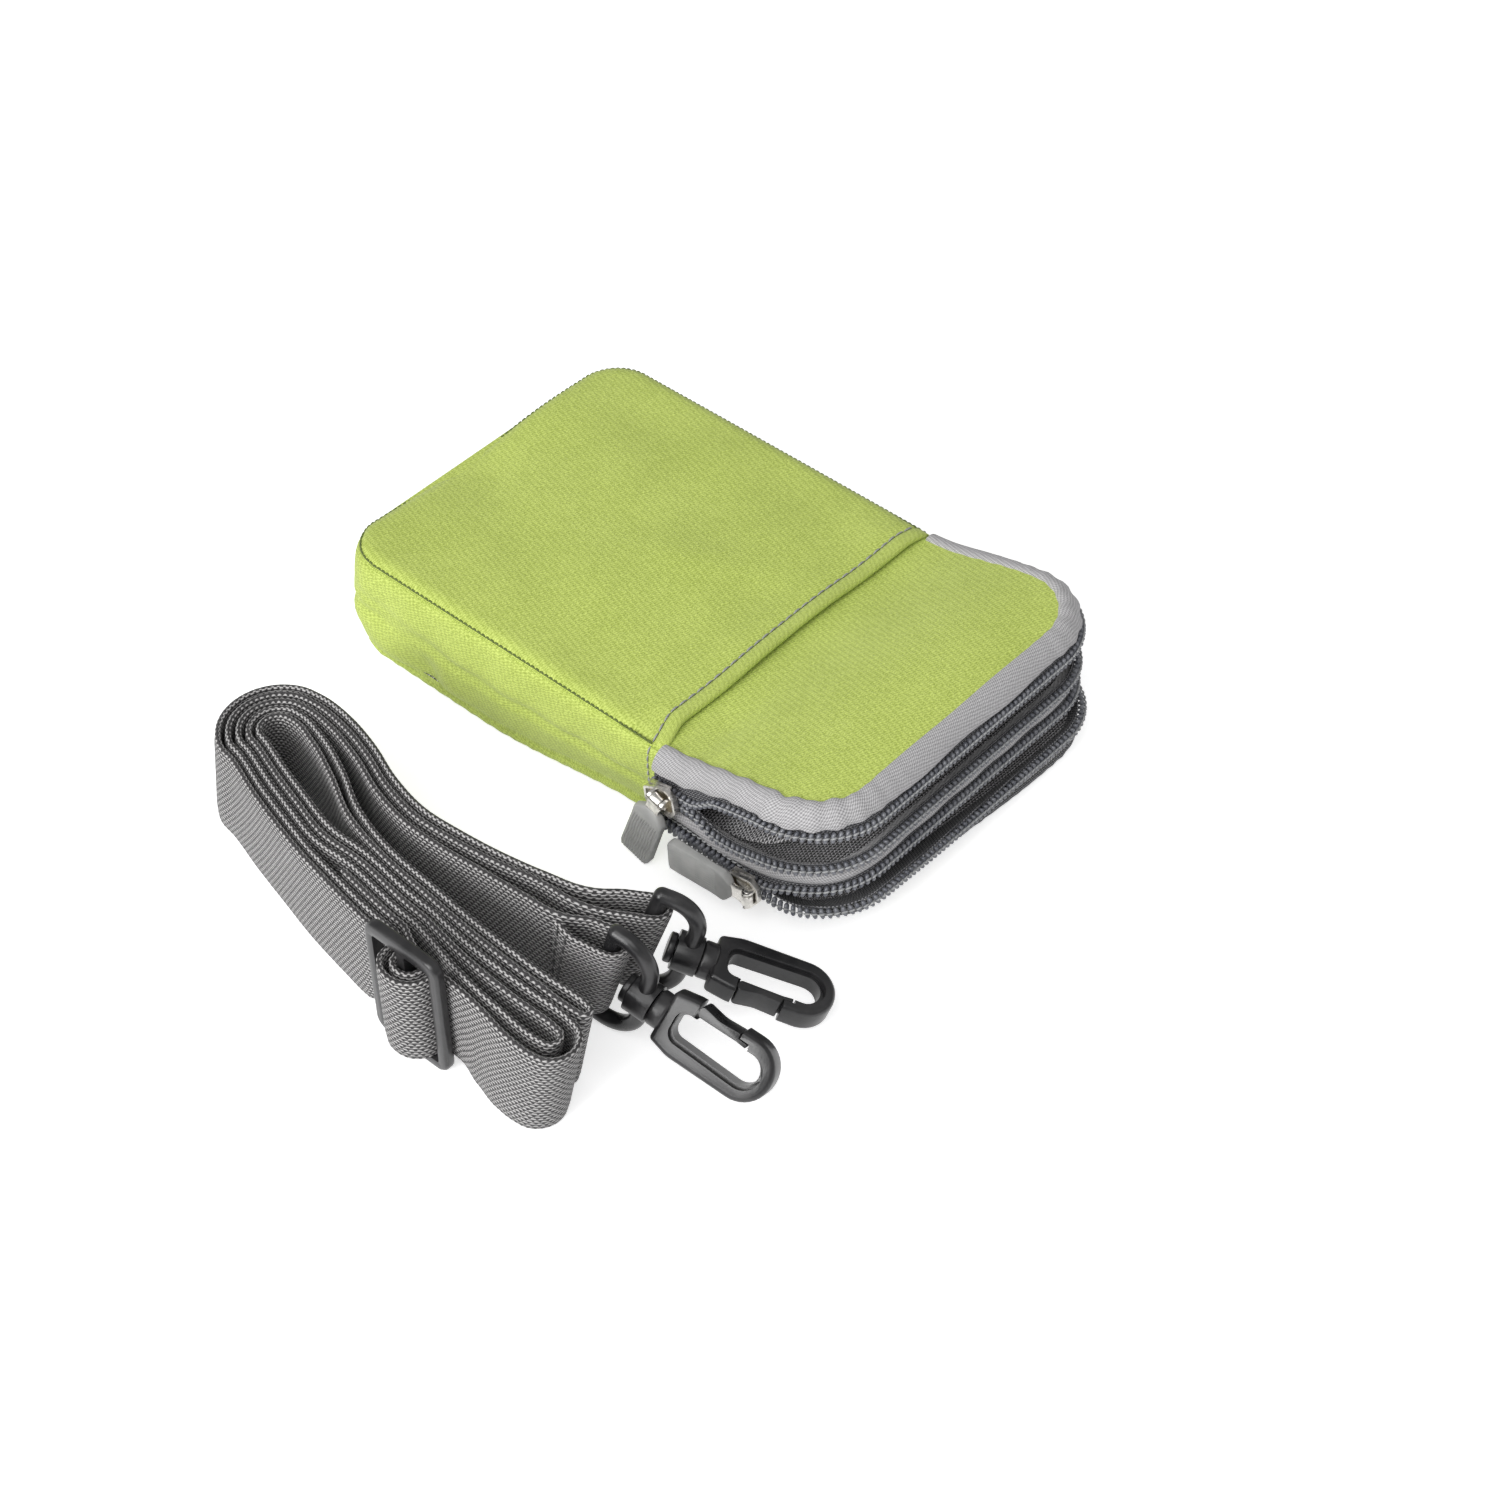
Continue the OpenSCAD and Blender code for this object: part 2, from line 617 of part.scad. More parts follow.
// Smooth curve through all points of p, with curve_steps pieces between neighbours
function curve_point(b, c, from, to, t) =
    b * (1 + 2 * t) * (1 - t) * (1 - t) + c * t * t * (3 - 2 * t)
        + norm(c - b) * (from * t * (1 - t) * (1 - t) - to * t * t * (1 - t));
function smooth(p) = [
    for (i = [0 : len(p) - 2], j = [0 : curve_steps - 1])
        curve_point(p[i], p[i + 1], heading_at(p, i), heading_at(p, i + 1), j / curve_steps),
    p[len(p) - 1]
];

// Sewn end at the first hook's ring
tail_run = [
    beside_bar(0, -sewn_l, -layer_pitch / 2), beside_bar(0, -leg_l, -leg_off),
    beside_bar(0, -leg_end, -leg_off)
];
// From the first hook's ring, round the hank, through the adjuster to the second hook's ring
main_run = concat(
    [beside_bar(0, -leg_end, leg_off), beside_bar(0, -leg_l, leg_off),
        beside_bar(0, -sewn_l, layer_pitch / 2)],
    [[-86.4, -30], [-87.2, -20], [-88, -10], [-88, 0], [-86, 10], [-82.3, 20], [-79.9, 30]],
    end_bend(2),
    [[-97.6, 30], [-100.2, 20], [-102.6, 10], [-102.6, 0], [-104.5, -16], [-104.7, -20],
        [-105.6, -25], [-107.2, -32], [-109.2, -45]],
    bend(inner_loop_centre, inner_loop_r, -180, 0),
    [[-105.4, -45], [-104.4, -32], [-103.5, -26], [-102.6, -20], [-102.4, -16], [-100.6, 0],
        [-100.6, 10], [-98.1, 20], [-95.5, 30]],
    reversed(end_bend(3)),
    [[-82.8, 30], [-86.3, 20], [-91.4, 10], [-94.4, 0], [-96.2, -16], [-96.8, -22],
        [-97.5, -32], [-98, -45]],
    bend(fold_centre, fold_r, 0, -180),
    [[-100.2, -45], [-99.6, -32], [-98.8, -22], [-98.2, -16], [-96.4, 0], [-93.9, 10],
        [-89, 20], [-85.2, 30]],
    end_bend(4),
    [[-93.4, 30], [-96, 20], [-98.5, 10], [-98.6, 0], [-100.4, -16], [-100.5, -20],
        [-101.3, -26], [-101.9, -32], [-102.4, -45]],
    bend(outer_loop_centre, outer_loop_r, 0, -180),
    [[-112.9, -50], [-111.3, -42], [-110.7, -36.5], [-110.8, -33.2], [-112.2, -31.8],
        [-114.8, -30.9], [-116.8, -28.8], [-117.4, -26], [-116.8, -23.2], [-114.8, -21],
        [-112.4, -20.5], [-110.8, -19.1], [-110.7, -16], [-108.6, 0], [-106.8, 10],
        [-104.4, 20], [-101.8, 30]],
    reversed(end_bend(0)),
    [[-75.6, 30], [-77.8, 20], [-81.4, 10], [-83.4, 0], [-83, -10], [-81.8, -20], [-79.8, -30]],
    [beside_bar(1, -sewn_l, layer_pitch), beside_bar(1, -leg_l, leg_off),
        beside_bar(1, -leg_end, leg_off)]
);
// From the second hook's ring back round the hank to the adjuster, with its sewn end
end_run = concat(
    [beside_bar(1, -leg_end, -leg_off), beside_bar(1, -leg_l, -leg_off),
        beside_bar(1, -sewn_l, -layer_pitch)],
    [[-81.9, -30], [-83.9, -20], [-85.1, -10], [-85.5, 0], [-83.5, 10], [-79.9, 20],
        [-77.7, 30]],
    end_bend(1),
    [[-99.7, 30], [-102.3, 20], [-104.8, 10], [-106.6, 0], [-108.6, -16], [-108.7, -18.8],
        [-110.1, -21.3], [-112.2, -22.9], [-114.2, -23.5], [-115.3, -26], [-114.2, -28.7],
        [-112, -29.3], [-110.1, -28], [-109.4, -25.2], [-108.2, -22.3], [-106.7, -19.2],
        [-106.5, -16], [-104.6, 0]]
);

// Sideways direction at place i of a line
function side_at(p, i) =
    let (d = p[min(i + 1, len(p) - 1)] - p[max(i - 1, 0)]) [-d[1], d[0]] / norm(d);
function shifted(p, by) = [for (i = [0 : len(p) - 1]) p[i] + by * side_at(p, i)];

module webbing_run(p)
    linear_extrude(webbing_w)
        polygon(concat(shifted(p, webbing_t / 2), reversed(shifted(p, -webbing_t / 2))));

// The webbing's turn round the bar of ring k, which tilts with the ring and is squeezed by it
module webbing_turn(k) intersection() {
    at_ring(k) translate([0, 0, -turn_w / 2]) linear_extrude(turn_w) {
        difference() {
            circle(leg_off + turn_t / 2);
            circle(leg_off - turn_t / 2);
            translate([-leg_off - webbing_t, -leg_off - webbing_t])
                square([leg_off + webbing_t, 2 * (leg_off + webbing_t)]);
        }
        for (side = [-1, 1])
            translate([-leg_l, side * leg_off - turn_t / 2]) square([leg_l + run_gap, turn_t]);
    }
    translate([beside_bar(k, 0, 0)[0] - webbing_w, beside_bar(k, 0, 0)[1] - webbing_w, 0])
        cube([2 * webbing_w, 2 * webbing_w, webbing_w]);
}

// Length of a line, and the least distance from its places to its other pieces
function line_l(p) = let (d = [for (i = [1 : len(p) - 1]) norm(p[i] - p[i - 1])])
    d * [for (i = d) 1];
function to_piece(q, a, b) =
    let (t = max(0, min(1, (q - a) * (b - a) / ((b - a) * (b - a))))) norm(q - a - t * (b - a));
function least(p, q, same) = min([
    for (i = [0 : len(p) - 1], j = [0 : len(q) - 2])
        if (!same || abs(i - j) > near_steps) to_piece(p[i], q[j], q[j + 1])
]);

module strap_webbing() color(webbing_grey) {
    tail = smooth(tail_run);
    main = smooth(main_run);
    end = smooth(end_run);
    echo(webbing_length = line_l(tail) + line_l(main) + line_l(end) + 2 * PI * leg_off);
    echo(least_gap_to_itself = min(least(main, main, true), least(end, end, true),
        least(main, end, false), least(end, main, false)) - webbing_t);
    webbing_run(tail);
    difference() {
        union() {
            webbing_run(main);
            webbing_run(end);
        }
        translate([glide_place[0] - glide_t / 2 - ring_span, glide_place[1] - glide_l / 2 - soft_gap,
            -over])
            cube([ring_span + glide_t + soft_gap, glide_l + 2 * soft_gap, over + glide_rise]);
    }
    webbing_turn(0);
    webbing_turn(1);
}

// Stitches across the webbing: at the first hook's ring and at the adjuster's sewn end
module stitch_row()
    for (i = [0 : strap_stitches - 1])
        translate([0, 0, (i + 0.5) * webbing_w / strap_stitches])
            cube([stitch_w, stitch_w, stitch_len], center = true);

module strap_stitching() color(grey_dark) {
    row = smooth(tail_run);
    across = side_at(row, 0);
    at = (row[0] + row[1]) / 2 - (webbing_t / 2 + stitch_w / 2 + run_gap) * across;
    translate(at) rotate([0, 0, atan2(across[1], across[0])]) stitch_row();
}

// Adjuster with two slots and a middle bar, standing on edge beside the outermost layers
module strap_adjuster() color(plastic_black)
    translate([glide_place[0], glide_place[1], glide_h / 2]) rotate([0, -90, 0])
        linear_extrude(glide_t, center = true) difference() {
            square([glide_h, glide_l], center = true);
            for (side = [-1, 1])
                translate([0, side * (glide_l / 4 + glide_bar / 4 - glide_rim / 2)])
                    square([webbing_w + 2 * soft_gap,
                        glide_l / 2 - glide_rim - glide_bar / 2], center = true);
        }

// Snap hooks. Each is drawn along +X from the ring's bar, with the ring in the XZ plane

module hook_ring() color(plastic_black) difference() {
    union() {
        half = ring_span / 2;
        cylinder(r = ring_wire / 2, h = ring_span, center = true);
        translate([ring_depth, 0, 0])
            cylinder(r = ring_wire / 2, h = ring_span - 2 * ring_corner_r, center = true);
        for (side = [-1, 1]) {
            translate([0, 0, side * half]) sphere(ring_wire / 2);
            translate([0, 0, side * half]) rotate([0, 90, 0])
                cylinder(r = ring_wire / 2, h = ring_depth - ring_corner_r);
            translate([ring_depth - ring_corner_r, 0, side * (half - ring_corner_r)])
                rotate([side * 90, 0, 0]) rotate_extrude(angle = 90) translate([ring_corner_r, 0]) circle(ring_wire / 2);
        }
        translate([ring_depth - housing_l / 2, 0, 0]) rotate([0, 90, 0])
            cylinder(r = housing_r, h = housing_l);
    }
    translate([ring_depth - housing_l / 2 - over, 0, 0]) rotate([0, 90, 0])
        cylinder(r = swivel_r + run_gap, h = housing_l + 2 * over);
}

module stadium(l, w) {
    translate([w / 2, 0]) circle(w / 2);
    translate([l - w / 2, 0]) circle(w / 2);
    translate([w / 2, -w / 2]) square([l - w, w]);
}

// Swivel pin with its head inside the ring, a shoulder, and the eye with its open side at +Y
module hook_body() color(plastic_black) {
    translate([head_x, 0, 0]) rotate([0, 90, 0]) cylinder(r = head_r, h = head_l);
    translate([head_x, 0, 0]) rotate([0, 90, 0])
        cylinder(r = swivel_r, h = neck_x - head_x + neck_l / 2);
    translate([neck_x, 0, 0]) rotate([0, 90, 0]) cylinder(r = neck_r, h = neck_l);
    translate([eye_x, 0, -hook_t / 2]) linear_extrude(hook_t) difference() {
        stadium(eye_l, eye_w);
        translate([hook_side, 0]) stadium(eye_l - 2 * hook_side, eye_w - 2 * hook_side);
        translate([gate_start, eye_w / 2 - hook_side - over])
            square([gate_end - gate_start, hook_side + 2 * over]);
        translate([gate_start, gate_y]) circle(gate_hinge_r + run_gap);
        translate([gate_end - over, eye_w / 2 - hook_side - over])
            square([gate_toe_l + soft_gap + over, over + gate_toe_t + soft_gap]);
    }
}

// Springy gate that closes the eye; its toe lies inside the hook's nose
module hook_gate() color(plastic_black)
    translate([eye_x, 0, -gate_w / 2]) linear_extrude(gate_w) {
        translate([gate_start, gate_y]) circle(gate_hinge_r);
        translate([gate_start, gate_y - gate_t / 2])
            square([gate_end - gate_start - soft_gap, gate_t]);
        translate([gate_end - soft_gap - gate_t, eye_w / 2 - hook_side])
            square([gate_t, gate_y + gate_t / 2 - eye_w / 2 + hook_side]);
        translate([gate_end - soft_gap - gate_t, eye_w / 2 - hook_side])
            square([gate_t + soft_gap + gate_toe_l, gate_toe_t]);
    }

// Places children in the frame of a hook's ring, and of its body, which turns on the swivel
module at_ring(k)
    translate([bar_place[k][0], bar_place[k][1], bar_z]) rotate([0, hook_pitch[k], hook_heading[k]])
        children();
module at_hook(k) at_ring(k) rotate([hook_roll[k], 0, 0]) children();

module hook_1_ring() at_ring(0) hook_ring();
module hook_1_body() at_hook(0) hook_body();
module hook_1_gate() at_hook(0) hook_gate();
module hook_2_ring() at_ring(1) hook_ring();
module hook_2_body() at_hook(1) hook_body();
module hook_2_gate() at_hook(1) hook_gate();

back_panel();
back_seam();
belt_loop();
rear_gusset();
divider();
front_gusset();
front_panel();
slip_pocket();
pocket_hem();
hem_stitching();
rear_lining();
front_lining();
front_binding();
middle_band();
front_zip_upper();
front_zip_lower();
rear_zip_upper();
rear_zip_lower();
rear_zip_closed();
zip_end_stops();
front_slider();
front_puller_link();
front_puller_grip();
rear_slider();
rear_puller_link();
rear_puller_grip();
tab_near();
tab_far();
d_ring_near();
d_ring_far();
strap_webbing();
strap_stitching();
strap_adjuster();
hook_1_ring();
hook_1_body();
hook_1_gate();
hook_2_ring();
hook_2_body();
hook_2_gate();
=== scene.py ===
"""Dressed model of a two-compartment zipped phone pouch with its folded shoulder strap.

Lengths in the classes below are in millimetres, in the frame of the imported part: +Z up out of
the front, -Y out of the mouth and -X towards the strap. Meshes are stored in metres.
"""

import json
import logging
from dataclasses import dataclass, field
from enum import Enum
from math import atan2, copysign, cos, dist, exp, hypot, pi, radians, sin, sqrt, tan
from typing import Callable, Optional, Sequence, Union

import bmesh
import bpy
from mathutils import Matrix, Vector

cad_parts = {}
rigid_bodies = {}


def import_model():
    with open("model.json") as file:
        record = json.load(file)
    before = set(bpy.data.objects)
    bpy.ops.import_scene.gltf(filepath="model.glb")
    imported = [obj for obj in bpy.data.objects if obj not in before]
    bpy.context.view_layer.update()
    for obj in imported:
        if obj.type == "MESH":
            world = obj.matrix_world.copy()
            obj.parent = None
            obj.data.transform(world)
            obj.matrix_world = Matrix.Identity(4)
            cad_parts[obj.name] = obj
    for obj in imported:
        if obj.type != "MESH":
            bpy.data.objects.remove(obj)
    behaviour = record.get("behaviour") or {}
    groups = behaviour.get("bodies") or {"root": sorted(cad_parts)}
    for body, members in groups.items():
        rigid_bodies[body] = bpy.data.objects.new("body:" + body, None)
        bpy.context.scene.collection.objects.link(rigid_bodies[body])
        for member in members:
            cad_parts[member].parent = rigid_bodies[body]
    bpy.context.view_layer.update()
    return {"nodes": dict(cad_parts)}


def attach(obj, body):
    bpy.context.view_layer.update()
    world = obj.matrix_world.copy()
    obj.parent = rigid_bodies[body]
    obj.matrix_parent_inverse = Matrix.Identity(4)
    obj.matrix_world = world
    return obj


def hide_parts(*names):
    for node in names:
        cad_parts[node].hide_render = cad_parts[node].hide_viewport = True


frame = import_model()

MM = 0.001
UP = Vector((0, 0, 1))
log = logging.getLogger("pouch")

Colour = tuple[float, float, float]
Point = tuple[float, float, float]
Pair = tuple[float, float]
Profile = list[Pair]
Faces = list[tuple[int, ...]]
Piece = bpy.types.Object
Socket = bpy.types.NodeSocket


# Small sums on numbers


def ease(t: float) -> float:
    """Goes smoothly from 0 at t = 0 to 1 at t = 1, and stays there outside."""
    t = min(1.0, max(0.0, t))
    return t * t * (3 - 2 * t)


def bell(x: float, centre: float, width: float) -> float:
    """A bump of height 1 at centre that fades out within about two widths."""
    return exp(-(((x - centre) / width) ** 2))


def through(x: float, knots: Sequence[Pair]) -> float:
    """Reads a smooth curve that passes through a list of knots.

    Args:
        x: The place to read at.
        knots: Places and heights, with the places rising.

    Returns:
        The height at x, and the end heights outside the knots.
    """
    if x <= knots[0][0]:
        return knots[0][1]
    if x >= knots[-1][0]:
        return knots[-1][1]
    i = max(k for k in range(len(knots) - 1) if knots[k][0] <= x)

    def slope(k: int) -> float:
        """Slope of the curve at knot k."""
        a, b = knots[max(k - 1, 0)], knots[min(k + 1, len(knots) - 1)]
        return (b[1] - a[1]) / (b[0] - a[0])

    (x0, y0), (x1, y1) = knots[i], knots[i + 1]
    w, t = x1 - x0, (x - x0) / (x1 - x0)
    return (
        y0 * (1 + 2 * t) * (1 - t) ** 2
        + y1 * t * t * (3 - 2 * t)
        + w * (slope(i) * t * (1 - t) ** 2 - slope(i + 1) * t * t * (1 - t))
    )


@dataclass(frozen=True)
class Swell:
    """A soft swelling of a sheet, or a hollow where its height is negative."""

    height: float
    x: float
    x_width: float
    y: float
    y_width: float
    slant: float = 0.0

    def at(self, x: float, y: float) -> float:
        """Its height at a place, with the slant as its shift sideways along y."""
        across = bell(x + self.slant * y, self.x, self.x_width)
        return self.height * across * bell(y, self.y, self.y_width)


def swollen(swells: Sequence[Swell], x: float, y: float) -> float:
    """Height of several swellings together."""
    return sum(swell.at(x, y) for swell in swells)


# Moves of a made shape


def shift_by(x: float, y: float, z: float) -> Matrix:
    """Shift in millimetres."""
    return Matrix.Translation(Vector((x, y, z)) * MM)


def turn_by(angle: float, axis: str) -> Matrix:
    """Turn by an angle in degrees about an axis."""
    return Matrix.Rotation(radians(angle), 4, axis)


# Materials


class Term:
    """A number socket in a material, which takes part in Python sums."""

    def __init__(self, paint: "Paint", socket: Socket) -> None:
        """Keeps the paint that the socket belongs to, and the socket."""
        self.paint = paint
        self.socket = socket

    def __add__(self, other: "Value") -> "Term":
        """Sum of two numbers."""
        return self.paint.sum("ADD", self, other)

    def __sub__(self, other: "Value") -> "Term":
        """This number less another."""
        return self.paint.sum("SUBTRACT", self, other)

    def __rsub__(self, other: "Value") -> "Term":
        """Another number less this one."""
        return self.paint.sum("SUBTRACT", other, self)

    def __mul__(self, other: "Value") -> "Term":
        """Product of two numbers."""
        return self.paint.sum("MULTIPLY", self, other)

    def __truediv__(self, other: "Value") -> "Term":
        """This number divided by another."""
        return self.paint.sum("DIVIDE", self, other)

    __radd__ = __add__
    __rmul__ = __mul__

    def over(self, limit: float, soft: float) -> "Term":
        """Rises from 0 to 1 as the number passes a limit, over a soft width."""
        return self.paint.clamp((self - limit) / soft + 0.5)

    def wave(self) -> "Term":
        """Sine of the number, moved into 0 to 1."""
        return self.paint.sum("SINE", self) * 0.5 + 0.5


Value = Union[Term, float]


class Paint:
    """A procedural material under construction, with one Principled shader."""

    def __init__(self, name: str) -> None:
        """Starts an empty material of that name.

        Args:
            name: The material's name.
        """
        self.material = bpy.data.materials.new(name)
        self.material.use_nodes = True
        self.tree = self.material.node_tree
        self.shader = self.tree.nodes["Principled BSDF"]

    def node(
        self, kind: str, settings: Optional[dict] = None, sockets: Optional[dict] = None
    ) -> bpy.types.Node:
        """Adds a node.

        Args:
            kind: The node's type without its ShaderNode prefix.
            settings: Properties to set first. A ramp's stops are under "stops".
            sockets: Values or links by input name or number.

        Returns:
            The new node.
        """
        made = self.tree.nodes.new("ShaderNode" + kind)
        for name, value in (settings or {}).items():
            if name == "stops":
                ramp = made.color_ramp
                while len(ramp.elements) < len(value):
                    ramp.elements.new(0.5)
                for element, (place, colour) in zip(ramp.elements, value):
                    element.position, element.color = place, (*colour, 1.0)
            else:
                setattr(made, name, value)
        for name, value in (sockets or {}).items():
            self.plug(made.inputs[name], value)
        return made

    def plug(self, socket: Socket, value: object) -> None:
        """Links a term or an output to a socket, or writes a plain value on it.

        Args:
            socket: The input to fill.
            value: A term, an output or a plain value.
        """
        if isinstance(value, Term):
            self.tree.links.new(value.socket, socket)
        elif isinstance(value, Socket):
            self.tree.links.new(value, socket)
        elif isinstance(value, tuple) and len(value) == 3 and socket.type == "RGBA":
            socket.default_value = (*value, 1.0)
        else:
            socket.default_value = value

    def sum(self, operation: str, *terms: Value) -> Term:
        """Adds a Math node for one operation on numbers.

        Args:
            operation: The node's operation.
            terms: The numbers it works on.

        Returns:
            Its result.
        """
        settings = {"operation": operation}
        made = self.node("Math", settings, dict(enumerate(terms)))
        return Term(self, made.outputs[0])

    def clamp(self, value: Value) -> Term:
        """Holds a number in 0 to 1."""
        return Term(self, self.node("Clamp", None, {0: value}).outputs[0])

    def along_cloth(self) -> tuple[Term, Term]:
        """Reads the piece's own UV map.

        Returns:
            The places in the cloth's two directions, in millimetres.
        """
        place = self.node("UVMap", {"uv_map": "cloth"}).outputs[0]
        split = self.node("SeparateXYZ", None, {0: place})
        return Term(self, split.outputs[0]), Term(self, split.outputs[1])

    def place(self) -> Socket:
        """Object coordinates, in metres."""
        return self.node("TexCoord").outputs["Object"]

    def noise(self, scale: float, detail: float = 2.0, place: object = None) -> Term:
        """Adds noise.

        Args:
            scale: Waves per metre, or per unit of the given place.
            detail: Number of finer layers.
            place: Coordinates, or none for the object's own.

        Returns:
            The noise, in 0 to 1.
        """
        where = self.place() if place is None else place
        sockets = {"Vector": where, "Scale": scale, "Detail": detail}
        return Term(self, self.node("TexNoise", None, sockets).outputs["Fac"])

    def cloth_noise(self, across: float, along: float, detail: float = 2.0) -> Term:
        """Adds noise that is stretched along the cloth.

        Args:
            across: Waves per millimetre in the first direction.
            along: Waves per millimetre in the second one.
            detail: Number of finer layers.

        Returns:
            The noise, in 0 to 1.
        """
        u, v = self.along_cloth()
        where = self.node("CombineXYZ", None, {0: u * across, 1: v * along})
        return self.noise(1.0, detail, where.outputs[0])

    def mix(self, factor: Value, low: object, high: object) -> Socket:
        """Goes from one colour to another by a factor."""
        made = self.node("Mix", {"data_type": "RGBA"}, {0: factor, 6: low, 7: high})
        return made.outputs[2]

    def set(self, **sockets: object) -> None:
        """Sets the shader's inputs, with an underscore for each space in a name."""
        for name, value in sockets.items():
            self.plug(self.shader.inputs[name.replace("_", " ")], value)

    def emboss(self, height: Value, depth_mm: float) -> None:
        """Gives the surface a bump of this height map, with its depth in millimetres."""
        sockets = {"Height": height, "Distance": depth_mm * MM, "Strength": 1.0}
        self.set(Normal=self.node("Bump", None, sockets).outputs[0])


@dataclass(frozen=True)
class Finish:
    """A finish that pieces share: its material and the record's slot."""

    name: str
    slot: str

    def paint(self, paint: Paint) -> None:
        """Fills in the material's nodes."""
        raise NotImplementedError

    def material(self) -> bpy.types.Material:
        """Looks the material up, and makes it when it is first asked for.

        Returns:
            The finish's material.
        """
        label = "finish_" + self.name
        known = bpy.data.materials.get(label)
        if known is None:
            paint = Paint(label)
            self.paint(paint)
            known = paint.material
        return known


@dataclass(frozen=True)
class WovenFabric(Finish):
    """Backed polyester with a fine broken twill."""

    light: Colour = (0.66, 0.78, 0.19)
    dark: Colour = (0.36, 0.45, 0.07)
    pitch: float = 0.62
    roughness: float = 0.7
    sheen: float = 0.15
    depth: float = 0.11

    def paint(self, paint: Paint) -> None:
        """Wavy twill yarns broken into short floats, with bare spots and a faint mottle.

        Args:
            paint: The material to fill in.
        """
        u, v = paint.along_cloth()
        turn = 2 * pi / self.pitch
        drift = paint.cloth_noise(1.3, 0.8, 3.0) * 15.0
        twill = ((v + u * 0.35) * turn + drift).wave()
        floats = ((u * 0.8 - v * 0.25) * (turn * 0.62) + drift * 0.7).wave()
        grain = paint.cloth_noise(2.6, 3.8, 2.0)
        height = twill * 0.42 + floats * 0.26 + grain * 0.75
        mottle = paint.noise(55.0, 3.0)
        shade = (height * 0.85 + mottle * 0.3).over(0.78, 0.62)
        paint.set(Base_Color=paint.mix(shade, self.dark, self.light))
        paint.set(Roughness=self.roughness + grain * 0.12)
        paint.set(Sheen_Weight=self.sheen, Sheen_Roughness=0.45)
        paint.emboss(height, self.depth)


@dataclass(frozen=True)
class TwillTape(Finish):
    """Plain tape with fine ribs across its length, for the binding and the band."""

    light: Colour = (0.60, 0.59, 0.60)
    dark: Colour = (0.24, 0.235, 0.24)
    pitch: float = 0.5
    slope: float = 0.55
    depth: float = 0.09

    def paint(self, paint: Paint) -> None:
        """Slanted ribs that are broken up along each yarn.

        Args:
            paint: The material to fill in.
        """
        u, v = paint.along_cloth()
        wander = paint.cloth_noise(0.9, 1.2, 2.0) * 4.0
        rib = ((u + v * self.slope) * (2 * pi / self.pitch) + wander).wave()
        knots = (v * (2 * pi / 0.7) - u * 2.5 + wander).wave()
        fuzz = paint.cloth_noise(2.8, 3.2, 2.0)
        height = rib * 0.5 + knots * 0.35 + fuzz * 0.4
        shade = height.over(0.62, 0.7)
        paint.set(Base_Color=paint.mix(shade, self.dark, self.light))
        paint.set(Roughness=0.68 + fuzz * 0.15, Sheen_Weight=0.2)
        paint.emboss(height, self.depth)


@dataclass(frozen=True)
class SpeckledWeave(Finish):
    """Heather webbing: pale and dark yarns that float in short dashes."""

    light: Colour = (0.52, 0.51, 0.505)
    dark: Colour = (0.030, 0.028, 0.029)
    warp: float = 0.95
    weft: float = 1.25
    depth: float = 0.22
    bare: float = 0.42

    def paint(self, paint: Paint) -> None:
        """Rows of dashes, each row set off by half a dash from the one beside it.

        Args:
            paint: The material to fill in.
        """
        u, v = paint.along_cloth()
        wobble = paint.cloth_noise(0.6, 0.8, 2.0) * 1.3
        rows = (v * (2 * pi / self.warp) + wobble).wave()
        odd = (v * (pi / self.warp)).wave().over(0.5, 0.08)
        dash = (u * (2 * pi / self.weft) + odd * pi + wobble * 0.8).wave()
        height = rows * 0.5 + dash * 0.6
        mixed = paint.cloth_noise(1.9, 2.3, 2.0)
        shade = (rows * dash + (mixed - 0.5) * 0.75).over(self.bare, 0.34)
        paint.set(Base_Color=paint.mix(shade, self.dark, self.light))
        paint.set(Roughness=0.62 + mixed * 0.2, Sheen_Weight=0.1)
        paint.emboss(height, self.depth)


@dataclass(frozen=True)
class SmoothPlastic(Finish):
    """Moulded plastic with a satin skin and faint flow marks."""

    colour: Colour = (0.012, 0.012, 0.013)
    worn: Colour = (0.035, 0.034, 0.035)
    roughness: float = 0.22

    def paint(self, paint: Paint) -> None:
        """Satin black that is a little duller and paler in patches.

        Args:
            paint: The material to fill in.
        """
        patches = paint.noise(160.0, 4.0)
        grain = paint.noise(2600.0, 2.0)
        colour = paint.mix(patches.over(0.56, 0.3), self.colour, self.worn)
        paint.set(Base_Color=colour, Roughness=self.roughness + patches * 0.16)
        paint.set(Specular_IOR_Level=0.55)
        paint.emboss(grain * 0.5 + patches, 0.03)


@dataclass(frozen=True)
class BrightMetal(Finish):
    """Plated metal with fine scratches and dull spots."""

    colour: Colour = (0.72, 0.70, 0.66)
    dull: Colour = (0.46, 0.44, 0.41)
    roughness: float = 0.2

    def paint(self, paint: Paint) -> None:
        """Polished plate that is duller in small spots.

        Args:
            paint: The material to fill in.
        """
        spots = paint.noise(700.0, 3.0)
        brushed = paint.noise(3000.0, 1.0)
        paint.set(Base_Color=paint.mix(spots.over(0.6, 0.25), self.colour, self.dull))
        paint.set(Metallic=1.0, Roughness=self.roughness + spots * 0.18)
        paint.emboss(brushed * 0.4 + spots * 0.6, 0.02)


